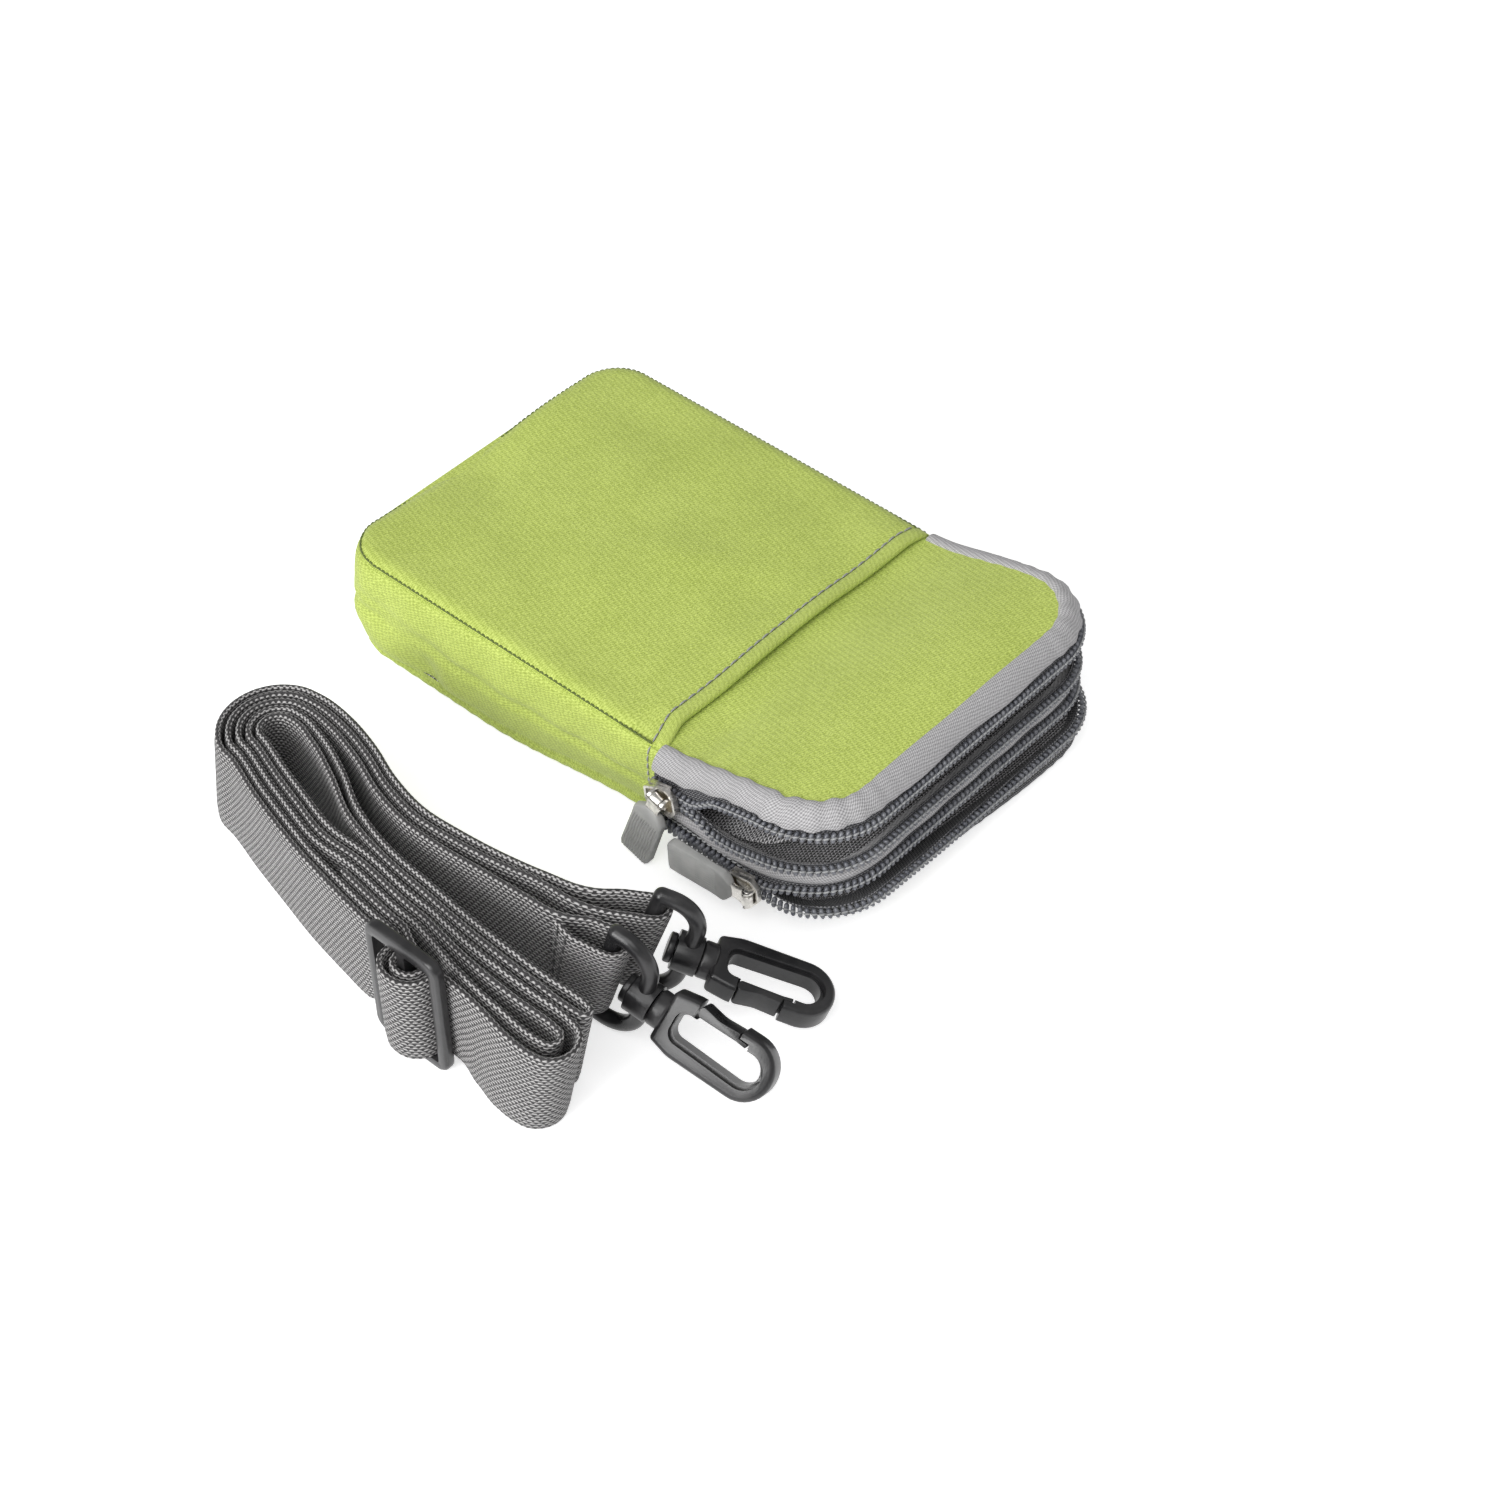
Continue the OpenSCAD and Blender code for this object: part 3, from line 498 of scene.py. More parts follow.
@dataclass(frozen=True)
class MouldedRubber(Finish):
    """Matt rubber of the zip pulls."""

    colour: Colour = (0.35, 0.352, 0.345)
    rubbed: Colour = (0.42, 0.42, 0.41)

    def paint(self, paint: Paint) -> None:
        """Even matt grey with a fine grain and rubbed patches.

        Args:
            paint: The material to fill in.
        """
        rubbed = paint.noise(260.0, 3.0)
        grain = paint.noise(4200.0, 2.0)
        paint.set(Base_Color=paint.mix(rubbed.over(0.52, 0.3), self.colour, self.rubbed))
        paint.set(Roughness=0.62 + grain * 0.12)
        paint.emboss(grain, 0.03)


@dataclass(frozen=True)
class CoilNylon(Finish):
    """Nylon filament of the zip coils, with a soft gloss."""

    colour: Colour = (0.095, 0.10, 0.12)
    pale: Colour = (0.21, 0.215, 0.235)

    def paint(self, paint: Paint) -> None:
        """Slate grey nylon, paler where it is rubbed.

        Args:
            paint: The material to fill in.
        """
        rubbed = paint.noise(500.0, 2.0)
        paint.set(Base_Color=paint.mix(rubbed.over(0.5, 0.35), self.colour, self.pale))
        paint.set(Roughness=0.26 + rubbed * 0.15, Specular_IOR_Level=0.7)
        paint.emboss(rubbed, 0.02)


@dataclass(frozen=True)
class SewingThread(Finish):
    """Twisted sewing thread."""

    colour: Colour = (0.44, 0.445, 0.45)
    dark: Colour = (0.20, 0.205, 0.21)

    def paint(self, paint: Paint) -> None:
        """Fine slanting plies.

        Args:
            paint: The material to fill in.
        """
        place = paint.node("SeparateXYZ", None, {0: paint.place()})
        x, y = (Term(paint, place.outputs[i]) for i in (0, 1))
        ply = ((x + y) * (2 * pi / (0.45 * MM))).wave()
        paint.set(Base_Color=paint.mix(ply * 0.7 + 0.3, self.dark, self.colour))
        paint.set(Roughness=0.6 + ply * 0.1)
        paint.emboss(ply, 0.04)


class Finishes(Enum):
    """The finishes of the pouch and the strap."""

    GREEN = WovenFabric("green_fabric", "green_fabric")
    BINDING = TwillTape("grey_binding", "grey_binding")
    TAPE = SpeckledWeave(
        "zip_tape", "zip_grey", (0.30, 0.30, 0.31), (0.025, 0.025, 0.03), 0.55, 0.75, 0.1, 0.4
    )
    COIL = CoilNylon("zip_coil", "zip_grey")
    LINING = SpeckledWeave(
        "lining", "lining", (0.62, 0.61, 0.62), (0.030, 0.028, 0.030), 0.62, 0.85, 0.16, 0.26
    )
    WEBBING = SpeckledWeave("webbing", "webbing", bare=0.3)
    THREAD = SewingThread("thread", "grey_binding")
    DARK_THREAD = SewingThread("dark_thread", "webbing", (0.10, 0.10, 0.10), (0.02, 0.02, 0.02))
    # Thread of the pocket seam, coloured dark green: the darkness is painted shade of the crease.
    GREEN_THREAD = SewingThread(
        "green_thread", "green_fabric", (0.15, 0.20, 0.04), (0.05, 0.075, 0.015)
    )
    PLASTIC = SmoothPlastic("black_plastic", "black_plastic")
    NICKEL = BrightMetal("nickel", "nickel")
    # Bronze tint on the floor of the slider cap's recess: a painted reflection, not the metal's own
    # colour.
    BRONZE = BrightMetal("bare_bronze", "nickel", (0.52, 0.45, 0.33), (0.30, 0.25, 0.17), 0.34)
    RUBBER = MouldedRubber("grip_rubber", "grip_rubber")


# Workbench: the modelling steps that the pieces share


class Bench:
    """Modelling steps on the scene's objects, by Blender's own operators."""

    @staticmethod
    def clear() -> None:
        """Leaves edit mode and deselects everything."""
        if bpy.context.object and bpy.context.object.mode != "OBJECT":
            bpy.ops.object.mode_set(mode="OBJECT")
        bpy.ops.object.select_all(action="DESELECT")

    @staticmethod
    def pick(*pieces: Piece) -> None:
        """Selects these pieces alone, with the first one active.

        Args:
            pieces: The pieces to select.
        """
        Bench.clear()
        for piece in pieces:
            piece.select_set(True)
        bpy.context.view_layer.objects.active = pieces[0]

    @staticmethod
    def modify(piece: Piece, kind: str, **settings: object) -> None:
        """Adds a modifier with these settings and applies it.

        Args:
            piece: The piece to change.
            kind: The modifier's type.
            settings: Its properties.
        """
        Bench.pick(piece)
        modifier = piece.modifiers.new(kind.lower(), kind)
        for name, value in settings.items():
            setattr(modifier, name, value)
        bpy.ops.object.modifier_apply(modifier=modifier.name)

    @staticmethod
    def soften(piece: Piece, width: float, steps: int = 3, angle: float = 35.0) -> None:
        """Rounds a piece's sharp edges.

        Args:
            piece: The piece to change.
            width: Width of the rounding.
            steps: Faces across it.
            angle: Least angle of an edge that is rounded, in degrees.
        """
        Bench.modify(piece, "BEVEL", width=width * MM, segments=steps, limit_method="ANGLE",
                     angle_limit=radians(angle), use_clamp_overlap=True)

    @staticmethod
    def edit(piece: Piece, selected: bool = False, mode: str = "FACE") -> bmesh.types.BMesh:
        """Opens a piece in edit mode.

        Args:
            piece: The piece to open.
            selected: Whether all of it is selected, or nothing.
            mode: VERT, EDGE or FACE.

        Returns:
            The piece's edit mesh.
        """
        Bench.pick(piece)
        bpy.ops.object.mode_set(mode="EDIT")
        bpy.ops.mesh.select_mode(type=mode)
        bpy.ops.mesh.select_all(action="SELECT" if selected else "DESELECT")
        return bmesh.from_edit_mesh(piece.data)

    @staticmethod
    def close(piece: Piece) -> None:
        """Goes back to object mode."""
        bmesh.update_edit_mesh(piece.data)
        bpy.ops.object.mode_set(mode="OBJECT")

    @staticmethod
    def tidy_normals(piece: Piece) -> None:
        """Merges doubles and turns all faces outwards.

        Args:
            piece: The piece to change.
        """
        Bench.edit(piece, True)
        bpy.ops.mesh.remove_doubles(threshold=0.000002)
        bpy.ops.mesh.normals_make_consistent(inside=False)
        Bench.close(piece)

    @staticmethod
    def smooth(piece: Piece, angle: float = 50.0) -> None:
        """Shades smooth up to an angle in degrees."""
        Bench.pick(piece)
        bpy.ops.object.shade_smooth_by_angle(angle=radians(angle))

    @staticmethod
    def surface(piece: Piece, angle: float) -> None:
        """Closes a skin, turns its faces outwards and shades it smooth up to an angle."""
        Bench.tidy_normals(piece)
        Bench.smooth(piece, angle)

    @staticmethod
    def finish(piece: Piece, finishes: Sequence[Finishes], body: str, *nodes: str) -> Piece:
        """Gives a piece its materials, and lets it ride on its body for its nodes.

        Args:
            piece: The piece.
            finishes: Its finishes, the outer face's first.
            body: The body that it rides on.
            nodes: The nodes that it stands for, if any.

        Returns:
            The same piece.
        """
        slots = piece.data.materials
        while len(slots) > len(finishes):
            slots.pop()
        for i, finish in enumerate(finishes):
            if i < len(slots):
                slots[i] = finish.value.material()
            else:
                slots.append(finish.value.material())
        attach(piece, body)
        if nodes:
            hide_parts(*nodes)
        log.info("made %s", piece.name)
        return piece

    @staticmethod
    def mesh(name: str, points: Sequence[Point], faces: Faces, marks: Sequence[Pair] = ()) -> Piece:
        """Makes a piece from its points and faces.

        Args:
            name: The piece's name.
            points: Its points, in millimetres.
            faces: The numbers of each face's points.
            marks: Each point's place along the flat cloth, for the piece's UV map.

        Returns:
            The new piece.
        """
        data = bpy.data.meshes.new(name)
        data.from_pydata([Vector(p) * MM for p in points], [], [list(f) for f in faces])
        piece = bpy.data.objects.new(name, data)
        bpy.context.scene.collection.objects.link(piece)
        if marks:
            layer = data.uv_layers.new(name="cloth")
            for loop in data.loops:
                layer.data[loop.index].uv = marks[loop.vertex_index]
        return piece

    @staticmethod
    def skin(rings: int, sides: int, closed: bool = False, first: int = 0) -> Faces:
        """Faces over rings of points that follow each other.

        Args:
            rings: Number of rings.
            sides: Points in each ring.
            closed: Whether the last ring meets the first, and no end is capped.
            first: Number of the first point.

        Returns:
            The numbers of each face's points.
        """
        faces: Faces = []
        for i in range(rings if closed else rings - 1):
            a, b = first + i * sides, first + (i + 1) % rings * sides
            faces += [(a + k, a + (k + 1) % sides, b + (k + 1) % sides, b + k) for k in range(sides)]
        if not closed:
            last = first + (rings - 1) * sides
            faces += [tuple(first + k for k in reversed(range(sides))),
                      tuple(last + k for k in range(sides))]
        return faces


@dataclass
class Cloth:
    """A sheet of cloth, laid as rows of points on its outer face."""

    name: str
    thickness: float
    rows: list[list[Point]] = field(default_factory=list)
    marks: list[list[Pair]] = field(default_factory=list)

    def add(self, points: list[Point], marks: list[Pair]) -> None:
        """Adds a row of points with their places along the flat cloth."""
        self.rows.append(points)
        self.marks.append(marks)

    def sew(self, round_edge: float = 0.35, flip: bool = False) -> Piece:
        """Makes the sheet with its thickness inwards and its rim rounded.

        Args:
            round_edge: Radius of the rim's edges.
            flip: Whether the outer face is on the other side of the rows.

        Returns:
            The closed mesh, with a UV map in millimetres along the cloth.
        """
        across = len(self.rows[0])
        faces = []
        for i in range(len(self.rows) - 1):
            for j in range(across - 1):
                a, b = i * across + j, (i + 1) * across + j
                quad = (a, b, b + 1, a + 1)
                faces.append(quad[::-1] if flip else quad)
        points = [p for row in self.rows for p in row]
        piece = Bench.mesh(self.name, points, faces, [m for row in self.marks for m in row])
        for _ in range(2):
            piece.data.materials.append(None)
        Bench.modify(piece, "SOLIDIFY", thickness=self.thickness * MM, offset=-1.0,
                     material_offset=1, material_offset_rim=0)
        Bench.soften(piece, round_edge, 2, 52.0)
        Bench.smooth(piece, 70)
        return piece


# The pouch's own sizes, and the places of the fittings that several classes share

FRONT_SLIDER: Point = (-43.7, -29.3, 18.9)
REAR_SLIDER: Point = (-43.7, -51.0, 8.77)


@dataclass(frozen=True)
class RingSeat:
    """A hook ring's bar, and how the hook leaves it, with its angles in degrees."""

    bar: Point
    heading: float
    pitch: float
    roll: float


RINGS = (RingSeat((-84.6, -49.5, 15.4), -80.8, 14.0, 50.0),
         RingSeat((-73.6, -49.0, 15.4), -60.0, 18.0, 180.0))


@dataclass(frozen=True)
class Station:
    """A place on the line round the mouth, with its outward direction."""

    x: float
    y: float
    out_x: float
    out_y: float
    along: float

    def at(self, out: float, z: float) -> Point:
        """Point set off outwards from the line, at a height."""
        return (self.x + out * self.out_x, self.y + out * self.out_y, z)


Height = Callable[[Station], float]


@dataclass(frozen=True)
class MouthLine:
    """The U from the near side round the mouth to the far side, as arc length."""

    half: float
    reach: float
    corner: float
    start_y: float = -25.0

    @property
    def leg(self) -> float:
        """Length of each straight side."""
        return self.reach - self.corner

    @property
    def length(self) -> float:
        """Length of the whole line."""
        return 2 * self.leg + pi * self.corner + 2 * (self.half - self.corner)

    def station(self, along: float) -> Station:
        """Reads the line.

        Args:
            along: Distance from its near end.

        Returns:
            The place there.
        """
        turn = pi * self.corner / 2
        if along > self.length / 2:
            other = self.station(self.length - along)
            return Station(-other.x, other.y, -other.out_x, other.out_y, along)
        if along <= self.leg:
            return Station(-self.half, self.start_y - along, -1.0, 0.0, along)
        if along <= self.leg + turn:
            a = (along - self.leg) / self.corner
            x, y = -cos(a), -sin(a)
            centre = self.start_y - self.leg
            return Station(
                -self.half + self.corner + self.corner * x, centre + self.corner * y, x, y, along
            )
        x = -self.half + self.corner + along - self.leg - turn
        return Station(x, self.start_y - self.reach, 0.0, -1.0, along)

    def stations(self, step: float, start: float = 0.0, end: Optional[float] = None) -> list[Station]:
        """Reads the line at even distances.

        Args:
            step: Wanted distance between two places.
            start: Where the first one is.
            end: Where the last one is, or none for the line's end.

        Returns:
            The places.
        """
        end = self.length if end is None else end
        count = max(2, round((end - start) / step))
        return [self.station(start + (end - start) * i / count) for i in range(count + 1)]


@dataclass(frozen=True)
class PouchShape:
    """Sizes of the pouch and the soft shape of its edges."""

    half_w: float = 43.0
    end_y: float = 67.5
    zip_y: float = -25.0
    front_reach: float = 42.5
    rear_reach: float = 48.5
    end_r: float = 10.0
    front_r: float = 13.0
    rear_r: float = 14.0
    back_z: float = 3.0
    floor_z: float = 4.2
    divider_z: float = 12.0
    split_z: float = 12.6
    band_z: float = 10.9
    band_h: float = 3.4
    panel_z: float = 26.0
    top_z: float = 27.6
    fabric: float = 1.2
    lining: float = 0.5
    wall_in: float = 41.8
    panel_half: float = 42.6
    lip_half: float = 41.6
    tape_half: float = 43.7
    divider_tilt: float = 4.5
    top_swell: Swell = Swell(0.5, 0.0, 30.0, 12.0, 34.0)
    lip_knots: tuple[Pair, ...] = (
        (-70.0, 32.9), (-67.5, 33.2), (-64.0, 33.3), (-58.0, 33.1), (-52.0, 32.3),
        (-47.0, 31.2), (-40.0, 29.3), (-34.0, 27.6), (-30.0, 26.7), (-25.0, 26.1),
    )

    def lip(self, y: float) -> float:
        """Height of the front panel's outer face towards the mouth."""
        return through(y, self.lip_knots)

    def tilt_up(self, y: float) -> float:
        """Rise of the divider towards the mouth."""
        return max(0.0, self.zip_y - y) * tan(radians(self.divider_tilt))

    def droop(self, x: float, y: float) -> float:
        """Sag of the divider's near edge between the two sliders."""
        return 2.3 * bell(y, -45.0, 10.0) * ease((-x - 14.0) / 28.0)

    def hung(self, x: float, y: float) -> float:
        """Rise of the divider and the band over their level at the closed end."""
        return self.tilt_up(y) - self.droop(x, y)

    def lower_edge(self, x: float, y: float) -> tuple[float, float, float]:
        """How far the back panel's edge is drawn in and lifted.

        Args:
            x: Place across the pouch.
            y: Place along it.

        Returns:
            The pull sideways, the pull away from the mouth, and the lift.
        """
        tuck = ease((26.0 - y) / 44.0)
        near = tuck * ease((-x - 8.0) / 34.0)
        far = 0.35 * tuck * ease((x - 8.0) / 34.0) * (1 - 0.85 * ease((-52.0 - y) / 20.0))
        mouth = ease((-58.0 - y) / 14.0) * (0.3 + 0.7 * ease((26.0 - x) / 52.0))
        return 3.3 * near + 2.4 * far, 3.8 * mouth, 1.5 * (near + far) + 1.2 * mouth

    def drawn_in(self, x: float, y: float) -> Pair:
        """Place of a point of the back panel once its edge is drawn in."""
        side, mouth, _ = self.lower_edge(x, y)
        return x - copysign(side * ease((abs(x) - 26.0) / 17.0), x), y + mouth

    def tucked(self, x: float, y: float) -> float:
        """Sideways place of an inner cloth's point, drawn in with the wall behind the mouth."""
        pull = 0.6 * self.lower_edge(x, y)[0] * ease((y - self.zip_y + 3.0) / 5.0)
        return x - copysign(pull * ease((abs(x) - 26.0) / 13.0), x)

    def end_sag(self, x: float, y: float) -> float:
        """Sag of the top face at the closed end and its small swells.

        Args:
            x: Place across the pouch.
            y: Place along it.

        Returns:
            The change of height.
        """
        at_end = -1.5 * bell(x, -8.0, 15.0) + 0.5 * bell(x, 18.0, 9.0)
        return ease((y - 30.0) / 38.0) * at_end + self.top_swell.at(x, y)

    def plan(self, half: float, top: float, bottom: float, r_top: float, r_bottom: float,
             step: float) -> list[Pair]:
        """Half-widths of a plan with round corners.

        Args:
            half: Half of its width.
            top: Its edge at the closed end.
            bottom: Its edge at the mouth.
            r_top: Corner radius at the closed end, or zero.
            r_bottom: Corner radius at the mouth, or zero.
            step: Distance between rows.

        Returns:
            Pairs of y and half-width, from the closed end to the mouth.
        """
        turns = 6
        angles = [pi / 2 * i / turns for i in range(turns + 1)]
        rows = [(top, half)]
        if r_top:
            rows = [(top - r_top + r_top * cos(a), half - r_top + r_top * sin(a))
                    for a in angles]
        low, high = bottom + r_bottom, top - r_top
        count = max(1, round((high - low) / step))
        rows += [(high - (high - low) * i / count, half) for i in range(1, count)]
        if not r_bottom:
            return rows + [(bottom, half)]
        return rows + [(low - r_bottom * sin(a), half - r_bottom + r_bottom * cos(a))
                       for a in angles]


Warp = Callable[[float, float], Point]


@dataclass
class PouchShell:
    """The sewn shells: front panel, gusset, back panel with its roll, divider and linings."""

    shape: PouchShape = field(default_factory=PouchShape)
    step: float = 1.6
    columns: int = 54
    roll_r: Pair = (1.85, 1.6)
    roll_in: float = 1.9
    puff: Swell = Swell(6.6, -32.5, 8.0, -52.5, 9.0)
    lip_swells: tuple = (Swell(0.9, 4.0, 26.0, -47.0, 13.0), Swell(-0.7, -30.0, 9.0, -31.0, 4.0))
    near_creases: tuple = (
        Swell(1.5, 78.0, 7.0, 0.16, 0.17), Swell(-1.3, 66.5, 3.4, 0.16, 0.17),
        Swell(0.8, 59.0, 4.0, 0.16, 0.17), Swell(0.5, 88.0, 9.0, 0.3, 0.1),
    )
    far_creases: tuple = (Swell(0.5, 70.0, 9.0, 0.16, 0.17), Swell(-0.4, 58.0, 4.0, 0.16, 0.17))

    def panel(self, name: str, rows: list[Pair], thickness: float, warp: Warp,
              flip: bool = False, round_edge: float = 0.35) -> Piece:
        """Lays a flat-cut panel.

        Args:
            name: The panel's name.
            rows: Pairs of y and half-width.
            thickness: Thickness of its cloth.
            warp: Gives a flat point its place.
            flip: Whether the outer face is below.
            round_edge: Radius of the rim's edges.

        Returns:
            The panel.
        """
        cloth = Cloth(name, thickness)
        for y, half in rows:
            xs = [half * sin(pi / 2 * (2 * j / self.columns - 1)) * 0.35
                  + half * (2 * j / self.columns - 1) * 0.65 for j in range(self.columns + 1)]
            cloth.add([warp(x, y) for x in xs], [(x, y) for x in xs])
        return cloth.sew(round_edge, flip)

    def front_panel(self) -> None:
        """Front panel with the lip that curls up over the mouth."""
        s = self.shape
        closed = s.plan(s.panel_half, s.end_y, s.zip_y, s.end_r, 0, 4.0)
        lip = s.plan(s.lip_half, s.zip_y, s.zip_y - s.front_reach, 0, s.front_r, self.step)

        def warp(x: float, y: float) -> Point:
            """Lifts the lip, with a hollow by the hem and small puckers by the binding."""
            if y > s.zip_y:
                return (x, y, s.panel_z)
            edge = ease((abs(x) - 30.0) / 11.0)
            z = s.lip(y) + swollen(self.lip_swells, x, y)
            z += edge * 0.22 * sin(y * 1.25 + 1.0) * bell(y, -40.0, 12.0) * (1 if x < 0 else 0.4)
            z += 0.45 * bell(y - 0.32 * (x + 42), -31.5, 2.0) * ease((-x - 24.0) / 12.0)
            z -= 0.35 * ease((-y - 60.0) / 7.0)
            return (x, y, z)

        piece = self.panel("front_panel_cloth", closed[:-1] + lip, s.fabric, warp)
        Bench.finish(piece, (Finishes.GREEN, Finishes.LINING), "pouch", "front_panel")

    def gusset(self) -> None:
        """Side wall round the closed end, from zip to zip, with the creases of a soft bag."""
        s = self.shape
        line = MouthLine(s.half_w, s.end_y - s.zip_y, s.end_r, -s.zip_y)
        cloth = Cloth("gusset_cloth", s.fabric)
        levels = 26
        for place in line.stations(1.5):
            y = -place.y
            row, marks = [], []
            near = ease((-place.x - 20) / 20.0)
            for j in range(levels + 1):
                t = j / levels
                pull, _, lift = s.lower_edge(place.x, y)
                low = s.back_z + 0.2 + lift
                top = s.panel_z + 0.35 + s.end_sag(place.x, y) * 0.9
                z = low + (top - low) * t
                out = 1.5 * sin(pi * min(1.0, t * 1.02)) ** 0.7
                out -= 0.9 * bell(z, s.split_z + 1.5, 1.3) * (1 - 0.5 * bell(y, 40, 18) * near)
                out -= pull * (1 - t) ** 1.4 * 1.05
                out -= 0.35 * ease((t - 0.9) / 0.06) + 0.9 * ease((t - 0.95) / 0.05)
                out -= 0.35 * ease((0.06 - t) / 0.06)
                z -= 0.9 * ease((t - 0.955) / 0.045) - 0.25 * bell(t, 0.95, 0.03)
                out -= 0.35 * bell(y, -22.6, 0.7) * ease((s.panel_z - z) / 2.0)
                out += self.creases(place.along, line.length, t)
                p = place.at(out, z)
                row.append((p[0], -p[1], p[2]))
                marks.append((place.along, (top - low) * t))
            cloth.add(row, marks)
        piece = cloth.sew(0.3, True)
        Bench.finish(piece, (Finishes.GREEN, Finishes.LINING), "pouch", "front_gusset", "rear_gusset")

    def creases(self, along: float, length: float, t: float) -> float:
        """Soft folds of the gusset: low ones by the near closed corner and faint ones elsewhere.

        Args:
            along: Distance along the gusset.
            length: Length of the gusset.
            t: Share of its height.

        Returns:
            How far the gusset stands out there.
        """
        s = along
        out = swollen(self.near_creases, s, t) + swollen(self.far_creases, length - s, t)
        out -= 0.5 * bell(t - 0.006 * (s - 70), 0.55, 0.06) * ease((s - 48) / 10) * ease((92 - s) / 8)
        return out + 0.28 * sin(s * 0.42 + 5 * t) * bell(t, 0.5, 0.35)

    def back_panel(self) -> None:
        """Back panel of the pouch, which reaches out further than the lip in front."""
        s = self.shape
        rows = s.plan(s.half_w, s.end_y, s.zip_y - s.rear_reach, s.end_r, s.rear_r, 3.0)

        def warp(x: float, y: float) -> Point:
            """Draws the near edge in and lifts it a little."""
            return (*s.drawn_in(x, y), s.back_z + s.lower_edge(x, y)[2])

        piece = self.panel("back_panel_cloth", rows, s.fabric, warp, True)
        for part in piece.data.polygons:
            steepest = 0.7 if part.center.y > (s.zip_y + 1) * MM else -0.7
            part.material_index = 0 if part.normal.z < steepest else 1
        Bench.finish(piece, (Finishes.GREEN, Finishes.LINING), "pouch", "back_panel")

    def divider(self) -> None:
        """Wall between the two compartments, which tilts up towards the mouth."""
        s = self.shape
        rows = s.plan(s.wall_in, s.end_y - s.fabric, s.zip_y - s.front_reach, s.end_r - s.fabric,
                      s.front_r, 3.0)

        def warp(x: float, y: float) -> Point:
            """Tilts and sags the divider's outer part."""
            return (s.tucked(x, y), y, s.divider_z + s.fabric + s.hung(x, y))

        piece = self.panel("divider_cloth", rows, s.fabric, warp)
        Bench.finish(piece, (Finishes.LINING, Finishes.LINING), "pouch", "divider")

    def linings(self) -> None:
        """Lining cloths on the floors of the two compartments."""
        s = self.shape
        half, top = s.wall_in - 0.6, s.end_y - s.fabric - 0.6
        back = 6.0

        def ripple(x: float, y: float) -> float:
            """Height of a lining's outer face over its floor."""
            wave = sin(0.31 * x + 0.12 * y) * sin(0.23 * y + 1)
            return s.lining + 0.05 + 0.18 * (1 + wave)

        def on_divider(x: float, y: float) -> Point:
            """Place of a point of the front lining, which puffs up by the near corner."""
            crumple = 1 + 0.16 * sin(0.9 * x + 0.5 * y) + 0.1 * sin(1.3 * y - 0.4 * x)
            floor = s.divider_z + s.fabric + s.hung(x, y)
            return (s.tucked(x, y), y, floor + ripple(x, y) + self.puff.at(x, y) * crumple)

        def on_back(x: float, y: float) -> Point:
            """Place of a point of the rear lining."""
            return (*s.drawn_in(x, y), s.floor_z + s.lower_edge(x, y)[2] + ripple(x, y))

        for name, reach, r_low, under, warp in (
            ("front_lining", s.front_reach, s.front_r, "divider", on_divider),
            ("rear_lining", s.rear_reach, s.rear_r, "back_panel", on_back),
        ):
            low = s.zip_y - reach + back
            rows = s.plan(half, top, low, s.end_r - s.fabric, r_low, self.step)
            piece = self.panel(name + "_cloth", rows, s.lining, warp, False, 0.12)
            Bench.finish(piece, (Finishes.LINING, Finishes.LINING), "pouch", name)

    def gusset_hems(self) -> None:
        """Stitch rows along the gusset's two turned edges at the mouth."""
        s = self.shape
        stitch = Stitch(1.9, 0.2)
        wall = bpy.data.objects["gusset_cloth"]
        bpy.context.view_layer.update()
        for side in (-1, 1):
            for i in range(5):
                y, z = -22.6 + 0.06 * i, 25.0 - 2.1 * i
                start = Vector((side * (s.half_w + 12.0), y, z)) * MM
                hit, at, face, _ = wall.ray_cast(start, Vector((-side, 0, 0)))
                if hit:
                    run = UP - face * face.z
                    stitch.lay(at / MM + face * 0.05, run, face)
        piece = stitch.sew("gusset_hem_stitches")
        Bench.finish(piece, (Finishes.THREAD,), "pouch")

    def seam_roll(self) -> None:
        """Stuffed roll of the seam round the back panel, on which the pouch lies."""
        s = self.shape
        width, height = self.roll_r
        inset, sides = self.roll_in, 12
        rows = s.plan(s.half_w - inset, s.end_y - inset, s.zip_y - s.rear_reach + inset,
                      s.end_r - inset, s.rear_r - inset, self.step)
        front = [(w, y) for y, w in rows]
        loop = front + [(-w, y) for w, y in reversed(front)]
        dense: list[Pair] = []
        for i, (x, y) in enumerate(loop):
            nx, ny = loop[(i + 1) % len(loop)]
            parts = max(1, round(hypot(nx - x, ny - y) / self.step))
            dense += [(x + (nx - x) * k / parts, y + (ny - y) * k / parts) for k in range(parts)]
        points: list[Point] = []
        marks: list[Pair] = []
        along = 0.0
        for i, (x, y) in enumerate(dense):
            (px, py), (qx, qy) = dense[i - 1], dense[(i + 1) % len(dense)]
            length = hypot(qx - px, qy - py)
            out_x, out_y = (qy - py) / length, (px - qx) / length
            rest = 0.75 * s.lower_edge(x, y)[2]
            x, y = s.drawn_in(x, y)
            along += hypot(x - px, y - py) if i else 0.0
            swell = 1 + 0.05 * sin(along * 1.4)
            for k in range(sides):
                a = 2 * pi * k / sides
                out = width * cos(a) * swell
                z = max(0.0, 1.52 + height * sin(a) * swell) + rest
                points.append((x + out_x * out, y + out_y * out, z))
                marks.append((along, 10.5 * k / sides))
        piece = Bench.mesh("back_seam_roll", points, Bench.skin(len(dense), sides, True), marks)
        Bench.surface(piece, 80)
        for part in piece.data.polygons:
            part.material_index = 1 if part.center.y < (s.zip_y - 0.5) * MM else 0
        Bench.finish(piece, (Finishes.GREEN, Finishes.TAPE), "pouch", "back_seam")

    def build(self) -> None:
        """Makes all shells."""
        for make in (self.front_panel, self.gusset, self.gusset_hems, self.back_panel,
                     self.divider, self.seam_roll, self.linings):
            make()


